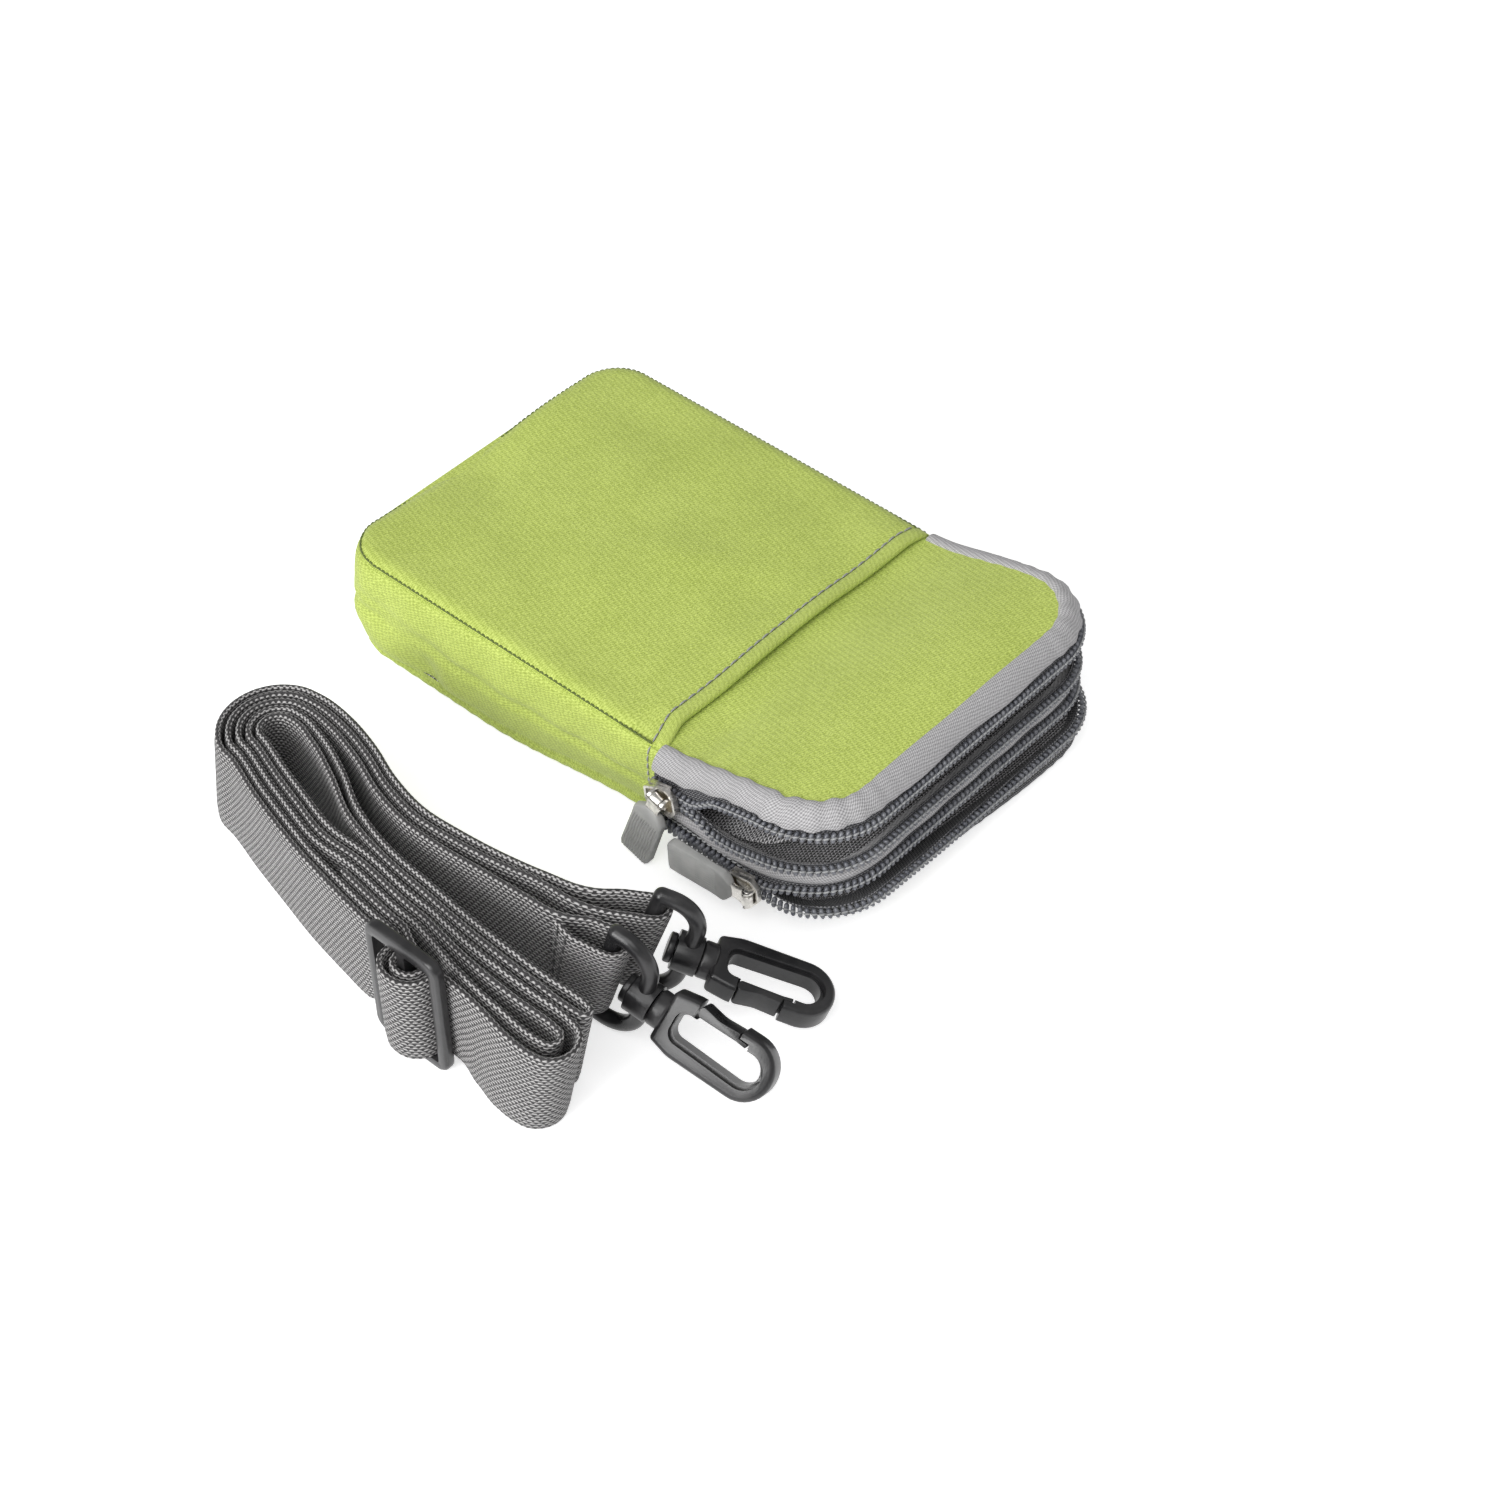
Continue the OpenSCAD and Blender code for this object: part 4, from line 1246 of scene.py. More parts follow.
@dataclass
class SlipPocket:
    """Pocket panel on the front, its folded hem and the stitch row."""

    shape: PouchShape = field(default_factory=PouchShape)
    hem_y: float = -24.0
    hem_w: float = 8.0
    thickness: float = 1.0
    stitch_in: float = 3.6
    stitch_pitch: float = 2.5
    stitch_len: float = 2.25
    stitch_r: float = 0.2
    cut: Pair = (85.2, 91.5)
    swells: tuple = (Swell(0.35, 6.0, 5.0, 2.0, 16.0, 0.4), Swell(-0.35, -30.0, 9.0, -8.0, 16.0))

    def fall(self, x: float, y: float) -> float:
        """Fall of the panel over its rounded edges at the seam.

        Args:
            x: Place across the pouch.
            y: Place along it.

        Returns:
            How far the panel falls.
        """
        s = self.shape
        side = s.panel_half - abs(x)
        end = s.end_y - y
        corner = hypot(max(0.0, s.end_r - side), max(0.0, s.end_r - end))
        inside = min(side, end) if corner == 0 else min(side, end, s.end_r - corner)
        reach = max(0.0, inside)
        return 0.7 * (1 - ease(reach / 3.4)) ** 1.5 + 1.35 * (1 - ease(reach / 1.3)) ** 1.4

    def top(self, x: float, y: float) -> float:
        """Height of the pocket panel's outer face.

        Args:
            x: Place across the pouch.
            y: Place along it.

        Returns:
            The height.
        """
        s = self.shape
        ripple = 0.12 * sin(0.11 * x + 0.17 * y) + 0.08 * sin(0.29 * x - 0.13 * y + 2)
        ripple += swollen(self.swells, x, y)
        inner = ease((s.panel_half - abs(x)) / 9.0)
        return s.top_z + s.end_sag(x, y) + ripple * inner - self.fall(x, y)

    def hem_line(self, x: float, back: float) -> Point:
        """Line of the hem, whose ends turn down to the seam.

        Args:
            x: Place across the pouch.
            back: Distance from the folded edge.

        Returns:
            The point.
        """
        near, far = ease((-x - 33.0) / 9.6), ease((x - 35.0) / 7.6)
        y = self.hem_y + back - 2.2 * near - 0.8 * far + 0.25 * sin(0.13 * x + 1)
        z = self.top(x, max(y, self.hem_y)) - 1.0 * near - 0.5 * far
        return (x, y, z + 0.3 * (1 - near))

    def panel(self) -> Piece:
        """Pocket panel, sewn down on three sides.

        Returns:
            The panel.
        """
        s = self.shape
        shell = PouchShell(s, 1.6, 64)
        rows = s.plan(s.panel_half, s.end_y, self.hem_y + self.stitch_in, s.end_r, 0, 1.3)

        def warp(x: float, y: float) -> Point:
            """Follows the hem near the mouth, where the cloth is turned under."""
            back = y - self.hem_y
            share = ease((12.0 - back) / 6.0)
            flat, turned = Vector((x, y, self.top(x, y))), Vector(self.hem_line(x, back))
            sunk = Vector((0, 0, 0.2 * bell(back, self.stitch_in, 0.5)))
            return tuple(flat.lerp(turned, share) - sunk)

        piece = shell.panel("slip_pocket_cloth", rows, self.thickness, warp)
        return Bench.finish(piece, (Finishes.GREEN, Finishes.GREEN), "pouch", "slip_pocket")

    def hem(self) -> Piece:
        """Double fold along the pocket's mouth, open in front and sunk at the stitches.

        Returns:
            The hem.
        """
        s = self.shape
        thick, turn_r, count = 1.35, 0.68, 86
        under = -self.thickness - 0.05
        tops = [(self.hem_w - 0.2, under), (5.6, under), (self.stitch_in + 0.1, under),
                (self.stitch_in - 0.1, -0.3), (3.2, -0.08), (2.6, 0.0), (1.8, 0.0), (1.2, 0.0)]
        fold = [(turn_r + turn_r * cos(a), turn_r * sin(a) - turn_r)
                for a in (pi / 2 + pi * i / 6 for i in range(7))]
        points: list[Point] = []
        marks: list[Pair] = []
        for i in range(count + 1):
            x = -s.panel_half + 2 * s.panel_half * i / count
            lift = 0.35 * bell(x, 2.0, 26.0)
            ring = [(back, rise + 0.16 * bell(back, 1.9, 1.0) + lift * ease((3.4 - back) / 3))
                    for back, rise in tops]
            ring += [(back, rise + lift + 0.08) for back, rise in fold]
            ring += [(3.0, lift * 0.3 - thick - 0.1), (self.hem_w - 0.2, -thick - 0.1)]
            for k, (back, rise) in enumerate(ring):
                px, py, pz = self.hem_line(x, back)
                points.append((px, py, pz + rise))
                marks.append((x, -k * 1.1))
        faces = Bench.skin(count + 1, len(tops) + len(fold) + 2)
        piece = Bench.mesh("pocket_hem_fold", points, faces, marks)
        Bench.surface(piece, 60)
        return Bench.finish(piece, (Finishes.GREEN,), "pouch", "pocket_hem")

    def stitches(self) -> Piece:
        """Row of stitches along the hem, each a short thread that dips at both ends.

        Returns:
            The row.
        """
        s = self.shape
        half = s.panel_half - 0.8
        count = int(2 * half / self.stitch_pitch)
        stitch = Stitch(self.stitch_len, self.stitch_r)
        for i in range(count):
            x = -half + self.stitch_pitch * (i + 0.5)
            a, b = self.hem_line(x - 0.4, self.stitch_in), self.hem_line(x + 0.4, self.stitch_in)
            centre = Vector(a).lerp(Vector(b), 0.5) - Vector((0, 0, 0.1))
            stitch.lay(centre, Vector(b) - Vector(a), UP)
        piece = stitch.sew("hem_stitches")
        return Bench.finish(piece, (Finishes.THREAD,), "pouch", "hem_stitching")

    def seam(self) -> Piece:
        """Dark green thread sunk in the crease where the pocket panel meets the side wall: it is the
        seam's thread, and its dark colour is painted shade of the crease.

        Returns:
            The thread.
        """
        s = self.shape
        inset = 0.5
        rows = s.plan(s.panel_half - inset, s.end_y - inset, self.hem_y + 1.5, s.end_r - inset, 0,
                      1.3)
        rim = [(-half, y) for y, half in reversed(rows)] + [(half, y) for y, half in rows]
        stitch = Stitch(1.5, 0.27)
        for (ax, ay), (bx, by) in zip(rim, rim[1:]):
            long = hypot(bx - ax, by - ay)
            parts = max(1, round(long / 1.35))
            for k in range(parts):
                share = (k + 0.5) / parts
                x, y = ax + (bx - ax) * share, ay + (by - ay) * share
                run = Vector((bx - ax, by - ay, 0))
                stitch.lay(Vector((x, y, self.top(x, y) - 0.02)), run, UP)
        # The stitches overlap into one dark line, which paints the crease's shade.
        piece = stitch.sew("pocket_seam_stitches")
        return Bench.finish(piece, (Finishes.GREEN_THREAD,), "pouch")

    def build(self) -> None:
        panel, hem, stitches = self.panel(), self.hem(), self.stitches()
        self.seam()


@dataclass
class Stitch:
    """One stitch of thread, and the row that is laid with copies of it."""

    length: float
    radius: float
    points: list[Point] = field(default_factory=list)
    faces: Faces = field(default_factory=list)

    def lay(self, centre: Vector, run: Vector, up: Vector) -> None:
        """Lays one stitch, thick in the middle and sunk at its two ends.

        Args:
            centre: Its middle, on the cloth's face.
            run: Direction along the thread.
            up: Direction out of the cloth.
        """
        run = run.normalized()
        side = up.cross(run).normalized()
        up = run.cross(side)
        sides, parts = 6, 5
        self.faces += Bench.skin(parts, sides, False, len(self.points))
        for i in range(parts):
            t = 2 * i / (parts - 1) - 1
            swell = max(0.35, sqrt(max(0.0, 1 - abs(t) ** 3)))
            rise = self.radius * (0.75 - 1.1 * t * t)
            for k in range(sides):
                a = 2 * pi * k / sides
                p = (centre + run * (t * self.length / 2)
                     + side * (self.radius * swell * cos(a))
                     + up * (rise + self.radius * swell * sin(a)))
                self.points.append(tuple(p))

    def sew(self, name: str) -> Piece:
        """Makes the laid row one piece.

        Args:
            name: The piece's name.

        Returns:
            The piece.
        """
        piece = Bench.mesh(name, self.points, self.faces)
        Bench.surface(piece, 70)
        return piece


@dataclass
class ZipHalf:
    """One half of a zip: its woven tape, the coil on its free edge and the coil's seam."""

    name: str
    line: MouthLine
    coil_z: Height
    foot: Callable[[Station], Pair]
    edge: int
    start: float = 0.0
    tape_t: float = 0.6
    coil_out: float = 1.4
    coil_h: float = 2.0
    pitch: float = 1.32
    lean: float = 0.22
    tilt: float = 0.55

    def turns(self) -> list[Station]:
        """Places of the coil's turns, a little in from the tape's two ends."""
        end = 0.4
        return self.line.stations(self.pitch, self.start + end, self.line.length - end)

    def tape(self) -> None:
        """Tape from its sewn foot to its free edge."""

        def section(place: Station) -> Profile:
            """Outline of the tape at a station, from the foot outside round to the foot inside."""
            foot_out, foot_z = self.foot(place)
            free = self.coil_z(place) + self.edge * (self.coil_h / 2 - 0.35)
            middle = (0.15 * foot_out, 0.7 * free + 0.3 * foot_z)
            return [
                (foot_out + self.tape_t, foot_z), (middle[0] + self.tape_t, middle[1]),
                (self.tape_t, free), (self.tape_t / 2, free + self.edge * 0.2), (0.0, free),
                (middle[0], middle[1]), (foot_out, foot_z),
            ]

        piece = sweep(self.name + "_tape", self.line.stations(1.6, self.start), section)
        Bench.finish(piece, (Finishes.TAPE,), "pouch", self.name)

    def coil(self) -> None:
        """Row of coil turns, each one a copy of the same turn."""
        turn = ToothRow(self.name + "_coil")
        for place in self.turns():
            turn.lay(place, self.coil_out, self.coil_z(place), self.edge, self.lean, self.tilt)
        piece = turn.sew()
        Bench.finish(piece, (Finishes.COIL,), "pouch")

    def seam(self) -> None:
        """Pale thread over the coil, which holds it on the tape."""
        stitch = Stitch(self.pitch * 1.1, 0.23)
        for place in self.turns():
            up = Vector((place.out_x * cos(self.tilt), place.out_y * cos(self.tilt),
                         sin(self.tilt)))
            run = Vector((-place.out_y, place.out_x, self.lean))
            middle = Vector(place.at(self.coil_out, self.coil_z(place)))
            stitch.lay(middle + up * 0.66, run, up)
        piece = stitch.sew(self.name + "_seam")
        Bench.finish(piece, (Finishes.THREAD,), "pouch")

    def build(self) -> None:
        """Makes the tape, the coil and its seam."""
        for make in (self.tape, self.coil, self.seam):
            make()


def sweep(name: str, stations: list[Station], section: Callable[[Station], Profile]) -> Piece:
    """Carries a closed outline along stations and caps both ends.

    Args:
        name: The piece's name.
        stations: Places along the line.
        section: Gives the outline at a station, as outward distances and heights.

    Returns:
        The closed mesh, with a UV map in millimetres.
    """
    rings = [section(place) for place in stations]
    count = len(rings[0])
    points = [place.at(out, z) for place, ring in zip(stations, rings) for out, z in ring]
    piece = Bench.mesh(name, points, Bench.skin(len(rings), count))
    layer = piece.data.uv_layers.new(name="cloth")
    for polygon in piece.data.polygons:
        for loop in polygon.loop_indices:
            i, k = divmod(piece.data.loops[loop].vertex_index, count)
            last = k == 0 and any(v % count == count - 1 for v in polygon.vertices)
            over = sum(dist(rings[i][m], rings[i][(m + 1) % count])
                       for m in range(count if last else k))
            layer.data[loop].uv = (stations[i].along, over)
    Bench.surface(piece, 55)
    return piece


@dataclass
class ToothRow:
    """One turn of nylon coil, and the row of its copies."""

    name: str
    points: list[Point] = field(default_factory=list)
    faces: Faces = field(default_factory=list)
    pattern: list[Vector] = field(default_factory=list)
    pattern_faces: Faces = field(default_factory=list)

    def model(self) -> None:
        """Models one turn: a bead with a waist, where the thread ties it down."""
        Bench.clear()
        bpy.ops.mesh.primitive_uv_sphere_add(segments=8, ring_count=7, radius=1.0)
        bead = bpy.context.object
        work = Bench.edit(bead, False, "VERT")
        for vert in work.verts:
            vert.select_set(abs(vert.co.z) < 0.5)
        bmesh.update_edit_mesh(bead.data)
        bpy.ops.transform.resize(value=(0.86, 0.66, 1.0))
        bpy.ops.mesh.select_all(action="SELECT")
        bpy.ops.transform.resize(value=(0.62, 0.9, 1.12))
        Bench.close(bead)
        self.pattern = [v.co.copy() for v in bead.data.vertices]
        self.pattern_faces = [tuple(p.vertices) for p in bead.data.polygons]
        bpy.data.objects.remove(bead)

    def lay(self, place: Station, out: float, z: float, edge: int, lean: float = 0.22,
            tilt: float = 0.0) -> None:
        """Lays one turn at a station, with its head towards the free edge.

        Args:
            place: The station.
            out: Its middle, outwards from the line.
            z: Its height.
            edge: 1 where the head is at the top, -1 where it is below.
            lean: How far the turn leans along the zip.
            tilt: Angle by which its outer side is turned up, in radians.
        """
        if not self.pattern:
            self.model()
        base = len(self.points)
        for p in self.pattern:
            run = p.x + lean * p.z
            rise = edge * p.z
            sideways = out + p.y * cos(tilt) - rise * sin(tilt)
            x, y, _ = place.at(sideways, z)
            self.points.append((x + place.out_y * run, y - place.out_x * run,
                                z + p.y * sin(tilt) + rise * cos(tilt)))
        self.faces += [tuple(base + v for v in face) for face in self.pattern_faces]

    def sew(self) -> Piece:
        """Makes the laid row one piece.

        Returns:
            The piece.
        """
        piece = Bench.mesh(self.name, self.points, self.faces)
        Bench.surface(piece, 80)
        return piece


@dataclass
class Mouth:
    """Binding, band and zips round the two open mouths."""

    shape: PouchShape = field(default_factory=PouchShape)
    closed: float = 24.0
    closed_z: float = 9.5
    half_coil: float = 1.15
    under_lip: float = 5.3
    over_band: float = 1.4
    under_band: float = 1.2
    over_back: float = 5.9
    foot: float = -0.2

    @property
    def upper_line(self) -> MouthLine:
        """Line of the three tapes that hang on the lip and on the band."""
        return MouthLine(self.shape.tape_half, 44.4, 15.0)

    def to_slider(self, place: Station, z: float, slider: Point, side: int) -> float:
        """Leads a coil's height into its slider on the near side.

        Args:
            place: The station.
            z: The coil's height away from the slider.
            slider: The slider's place.
            side: 1 for the upper coil, -1 for the lower one.

        Returns:
            The coil's height.
        """
        if place.x > 0:
            return z
        bend_starts, bend_ends = (13.0, 5.2) if slider == FRONT_SLIDER else (9.0, 2.2)
        share = ease((place.y - slider[1] + bend_starts) / (bend_starts - bend_ends))
        return z + (slider[2] + side * self.half_coil - z) * share

    def binding(self) -> None:
        """Ribbed tape that rolls over the front lip's edge, with puckers at its corners."""
        s = self.shape
        line = MouthLine(s.lip_half, s.front_reach - 0.4, s.front_r)

        def section(place: Station) -> Profile:
            """Outline of the rolled tape."""
            top = s.lip(place.y) + 0.05
            bend = line.leg + 9
            turn = bell(place.along, bend, 13) + bell(place.along, line.length - bend, 13)
            pucker = 0.16 * sin(place.along * 1.55) * turn
            pucker += 0.12 * sin(place.along * 0.9) * bell(place.along, 12, 12)
            fat = 1 + 0.5 * pucker + 0.06 * sin(place.along * 0.23)
            ruffle = 0.34 * sin(place.along * 0.95) * bell(place.along, line.leg + 4, 13)
            shape = [
                (-1.25, 0.0), (-0.9, 0.42), (0.0, 0.62), (1.1, 0.35), (2.1, -0.35), (2.95, -1.45),
                (3.4, -2.65), (3.35, -3.55), (2.75, -3.65), (2.35, -2.5), (1.5, -1.3), (0.3, -0.75),
                (-1.2, -0.7),
            ]
            return [(out * fat - (ruffle if out < 0.05 else 0.0), top + z * fat + pucker)
                    for out, z in shape]

        piece = sweep("front_binding_tape", line.stations(0.9), section)
        Bench.finish(piece, (Finishes.BINDING,), "pouch", "front_binding")

    def band(self) -> None:
        """Grey band between the two zips, on the divider's edge."""
        s = self.shape
        line = MouthLine(s.wall_in, s.front_reach - 0.1, s.front_r)

        def section(place: Station) -> Profile:
            """Outline of the band, a little crowned outwards."""
            low = s.band_z + s.hung(place.x, place.y)
            sway = 0.12 * sin(place.along * 0.5)
            shape = [
                (-0.4, 0.2), (1.7, 0.0), (2.45, 0.25), (2.8, 1.0), (2.9, 1.75), (2.75, 2.5),
                (2.4, 3.2), (1.7, 3.45), (-0.4, 3.2),
            ]
            return [(out + sway, low + z) for out, z in shape]

        piece = sweep("middle_band_tape", line.stations(1.2), section)
        Bench.finish(piece, (Finishes.BINDING,), "pouch", "middle_band")

    def halves(self) -> list[ZipHalf]:
        """Hangs the four open halves on their edges and leads them into their sliders.

        Returns:
            The four halves, from the top down.
        """
        s, foot = self.shape, self.foot

        def band(place: Station) -> float:
            """Lower edge of the grey band."""
            return s.band_z + s.hung(place.x, place.y)

        def back(place: Station) -> float:
            """Lift of the back panel's edge."""
            return s.lower_edge(place.x, place.y)[2]

        def back_foot(place: Station) -> Pair:
            """Foot of the lower tape, on the back panel's edge."""
            x, y = s.drawn_in(place.x, place.y)
            inwards = (x - place.x) * place.out_x + (y - place.y) * place.out_y
            return (inwards - 1.2, s.floor_z - 0.6 + back(place))

        def led(level: Height, slider: Point, side: int) -> Height:
            """Leads a coil with this level into a slider."""
            return lambda p: self.to_slider(p, level(p), slider, side)

        return [
            ZipHalf("front_zip_upper", self.upper_line,
                    led(lambda p: s.lip(p.y) - self.under_lip, FRONT_SLIDER, 1),
                    lambda p: (foot, s.lip(p.y) - 3.0), -1),
            ZipHalf("front_zip_lower", self.upper_line,
                    led(lambda p: band(p) + s.band_h + self.over_band, FRONT_SLIDER, -1),
                    lambda p: (foot, band(p) + s.band_h - 0.4), 1),
            ZipHalf("rear_zip_upper", self.upper_line,
                    led(lambda p: band(p) - self.under_band, REAR_SLIDER, 1),
                    lambda p: (foot, band(p) + 0.4), -1, self.closed),
            ZipHalf("rear_zip_lower", MouthLine(s.tape_half, 46.1, 14.0),
                    led(lambda p: self.over_back + back(p), REAR_SLIDER, -1), back_foot, 1,
                    self.closed),
        ]

    def closed_zip(self) -> None:
        """Closed stretch of the rear zip on the near side, with both coils meshed."""
        s, line = self.shape, self.upper_line
        places = line.stations(1.5, 0.0, self.closed + 1.0)

        def middle(place: Station) -> float:
            """Height of the meshed coils."""
            return self.closed_z + (REAR_SLIDER[2] - self.closed_z) * place.along / self.closed

        def section(place: Station) -> Profile:
            """Outline of the tape behind the coils, drawn in at its foot."""
            pull, _, lift = s.lower_edge(place.x, place.y)
            top = s.band_z + s.hung(place.x, place.y) + 0.5
            low, mid = s.floor_z - 0.1 + lift, middle(place)
            return [(0.6 - pull, low), (0.6, mid - 1.4), (0.6, mid), (0.4, top), (-0.2, top),
                    (0.0, mid), (0.0, mid - 1.4), (-pull, low)]

        tape = sweep("rear_zip_closed_tape", places, section)
        Bench.finish(tape, (Finishes.TAPE,), "pouch", "rear_zip_closed")
        row = ToothRow("rear_zip_closed_coil")
        stitch = Stitch(1.4, 0.2)
        for i, place in enumerate(line.stations(0.66, 0.6, self.closed)):
            side = 1 if i % 2 else -1
            row.lay(place, 1.35, middle(place) + side * 0.5, -side, 0.1)
            if i % 2:
                out = Vector((place.out_x, place.out_y, 0))
                run = Vector((-place.out_y, place.out_x, 0.2))
                for edge in (-1, 1):
                    at = place.at(0.72, middle(place) + edge * 1.75)
                    stitch.lay(Vector(at), run, out)
        Bench.finish(row.sew(), (Finishes.COIL,), "pouch")
        Bench.finish(stitch.sew("rear_zip_closed_seam"), (Finishes.THREAD,), "pouch")

    def build(self) -> None:
        """Makes everything round the mouths."""
        self.binding()
        self.band()
        for half in self.halves():
            half.build()
        self.closed_zip()


def refined(node: str, finish: Finishes, body: str, width: float) -> Piece:
    """Copies a rigid CAD node, rounds its sharp edges and lets the copy stand for it.

    Args:
        node: The CAD node.
        finish: The new piece's finish.
        body: The body that it rides on.
        width: Width of the rounding.

    Returns:
        The new piece.
    """
    piece = bpy.data.objects.new(node + "_piece", frame["nodes"][node].data.copy())
    bpy.context.scene.collection.objects.link(piece)
    Bench.edit(piece, True)
    bpy.ops.mesh.remove_doubles(threshold=0.000004)
    bpy.ops.mesh.dissolve_limited(angle_limit=radians(2.0))
    Bench.close(piece)
    Bench.soften(piece, width)
    Bench.smooth(piece, 40)
    piece.data.uv_layers.new(name="cloth")
    Bench.edit(piece, True)
    bpy.ops.uv.cube_project(cube_size=MM)
    Bench.close(piece)
    return Bench.finish(piece, (finish,), body, node)


@dataclass
class Strap:
    """Webbing strap, folded on edge into a hank, with its adjuster and stitching."""

    width: float = 25.0
    thickness: float = 1.4
    hem: float = 0.4
    leg_off: float = 2.75
    leg_end: float = 4.59
    leg_l: float = 6.8
    sewn_l: float = 10.88
    end_centre: Pair = (-87.0, 40.0)
    end_r: float = 11.8
    layer: float = 2.05
    glide: Pair = (-113.0, -26.0)
    box_low: float = 1.8
    box_pitch: float = 3.05
    length: float = 0.0

    def beside(self, k: int, s: float, out: float) -> Pair:
        """Point beside a ring's bar: s along the hook's heading, out to its left.

        Args:
            k: Number of the ring.
            s: Distance along the hook's heading.
            out: Distance to its left.

        Returns:
            The point.
        """
        (x, y, _), a = RINGS[k].bar, radians(RINGS[k].heading)
        return (x + s * cos(a) - out * sin(a), y + s * sin(a) + out * cos(a))

    @staticmethod
    def bend(centre: Pair, r: float, start: float, end: float) -> list[Pair]:
        """Points on a bend of the webbing, with its angles in degrees."""
        angles = [radians(start + (end - start) * i / 8) for i in range(9)]
        return [(centre[0] + r * cos(a), centre[1] + r * sin(a)) for a in angles]

    def end_bend(self, k: int) -> list[Pair]:
        """Layer k of the bends at the closed end of the hank."""
        return self.bend(self.end_centre, self.end_r - k * self.layer, 0, 180)

    def turn(self, k: int, side: int) -> list[Pair]:
        """Turn of the webbing round a ring's bar, from one side to the other.

        Args:
            k: Number of the ring.
            side: 1 to start on the right, -1 on the left.

        Returns:
            Points on the turn.
        """
        off = self.leg_off
        return [self.beside(k, off * sin(a), -side * off * cos(a))
                for a in (pi * i / 8 for i in range(9))]

    def route(self) -> list[Pair]:
        """The webbing's middle line in plan, from its sewn end at the first ring.

        Returns:
            The line's points, chosen from the folds of the real strap.
        """
        b = self.beside
        points = [b(0, -self.sewn_l, -1.025), b(0, -self.leg_l, -2.75), b(0, -self.leg_end, -2.75)]
        points += self.turn(0, 1)
        points += [b(0, -self.leg_end, 2.75), b(0, -self.leg_l, 2.75), b(0, -self.sewn_l, 1.025)]
        points += [(-86.4, -30), (-87.2, -20), (-88, -10), (-88, 0), (-86, 10), (-82.3, 20),
                   (-79.9, 30)]
        points += self.end_bend(2)
        points += [(-97.6, 30), (-100.2, 20), (-102.6, 10), (-102.6, 0), (-104.5, -16),
                   (-104.7, -20), (-105.6, -25), (-107.2, -32), (-109.2, -45)]
        points += self.bend((-107.6, -55.5), 2, -180, 0)
        points += [(-105.4, -45), (-104.4, -32), (-103.5, -26), (-102.6, -20), (-102.4, -16),
                   (-100.6, 0), (-100.6, 10), (-98.1, 20), (-95.5, 30)]
        points += self.end_bend(3)[::-1]
        points += [(-82.8, 30), (-86.3, 20), (-91.4, 10), (-94.4, 0), (-96.2, -16),
                   (-96.8, -22), (-97.5, -32), (-98, -45)]
        points += self.bend((-99.1, -56), 1.1, 0, -180)
        points += [(-100.2, -45), (-99.6, -32), (-98.8, -22), (-98.2, -16), (-96.4, 0),
                   (-93.9, 10), (-89, 20), (-85.2, 30)]
        points += self.end_bend(4)
        points += [(-93.4, 30), (-96, 20), (-98.5, 10), (-98.6, 0), (-100.4, -16),
                   (-100.5, -20), (-101.3, -26), (-101.9, -32), (-102.4, -45)]
        points += self.bend((-107.8, -56), 5.2, 0, -180)
        points += [(-112.9, -50), (-111.3, -42), (-110.7, -36.5), (-110.8, -33.2),
                   (-112.2, -31.8), (-114.8, -30.9), (-116.8, -28.8), (-117.4, -26),
                   (-116.8, -23.2), (-114.8, -21), (-112.4, -20.5), (-110.8, -19.1),
                   (-110.7, -16), (-108.6, 0), (-106.8, 10), (-104.4, 20), (-101.8, 30)]
        points += self.end_bend(0)[::-1]
        points += [(-75.6, 30), (-77.8, 20), (-81.4, 10), (-83.4, 0), (-83, -10), (-81.8, -20),
                   (-79.8, -30)]
        points += [b(1, -self.sewn_l, 2.05), b(1, -self.leg_l, 2.75), b(1, -self.leg_end, 2.75)]
        points += self.turn(1, -1)
        points += [b(1, -self.leg_end, -2.75), b(1, -self.leg_l, -2.75), b(1, -self.sewn_l, -2.05)]
        points += [(-81.9, -30), (-83.9, -20), (-85.1, -10), (-85.5, 0), (-83.5, 10),
                   (-79.9, 20), (-77.7, 30)]
        points += self.end_bend(1)
        points += [(-99.7, 30), (-102.3, 20), (-104.8, 10), (-106.6, 0), (-108.6, -16),
                   (-108.7, -18.8), (-110.1, -21.3), (-112.2, -22.9), (-114.2, -23.5),
                   (-115.3, -26), (-114.2, -28.7), (-112, -29.3), (-110.1, -28),
                   (-109.4, -25.2), (-108.2, -22.3), (-106.7, -19.2), (-106.5, -16), (-104.6, 0)]
        return points

    @staticmethod
    def smoothed(points: list[Pair], steps: int) -> list[Vector]:
        """Smooth line through all points, with the nearer neighbour counting more.

        Args:
            points: The line's points.
            steps: Most steps between two of them.

        Returns:
            The smooth line.
        """
        p = [Vector(q) for q in points]

        def heading(i: int) -> Vector:
            """Direction of the line at point i."""
            if i in (0, len(p) - 1):
                return (p[min(i + 1, len(p) - 1)] - p[max(i - 1, 0)]).normalized()
            back, on = (p[i] - p[i - 1]).length, (p[i + 1] - p[i]).length
            return ((p[i] - p[i - 1]) * on / back + (p[i + 1] - p[i]) * back / on) / (back + on)

        line: list[Vector] = []
        for i in range(len(p) - 1):
            b, c, length = p[i], p[i + 1], (p[i + 1] - p[i]).length
            parts = max(1, min(steps, round(length / 1.1)))
            for j in range(parts):
                t = j / parts
                line.append(b * ((1 + 2 * t) * (1 - t) ** 2) + c * (t * t * (3 - 2 * t))
                            + length * (heading(i) * (t * (1 - t) ** 2)
                                        - heading(i + 1) * (t * t * (1 - t))))
        return line + [p[-1]]

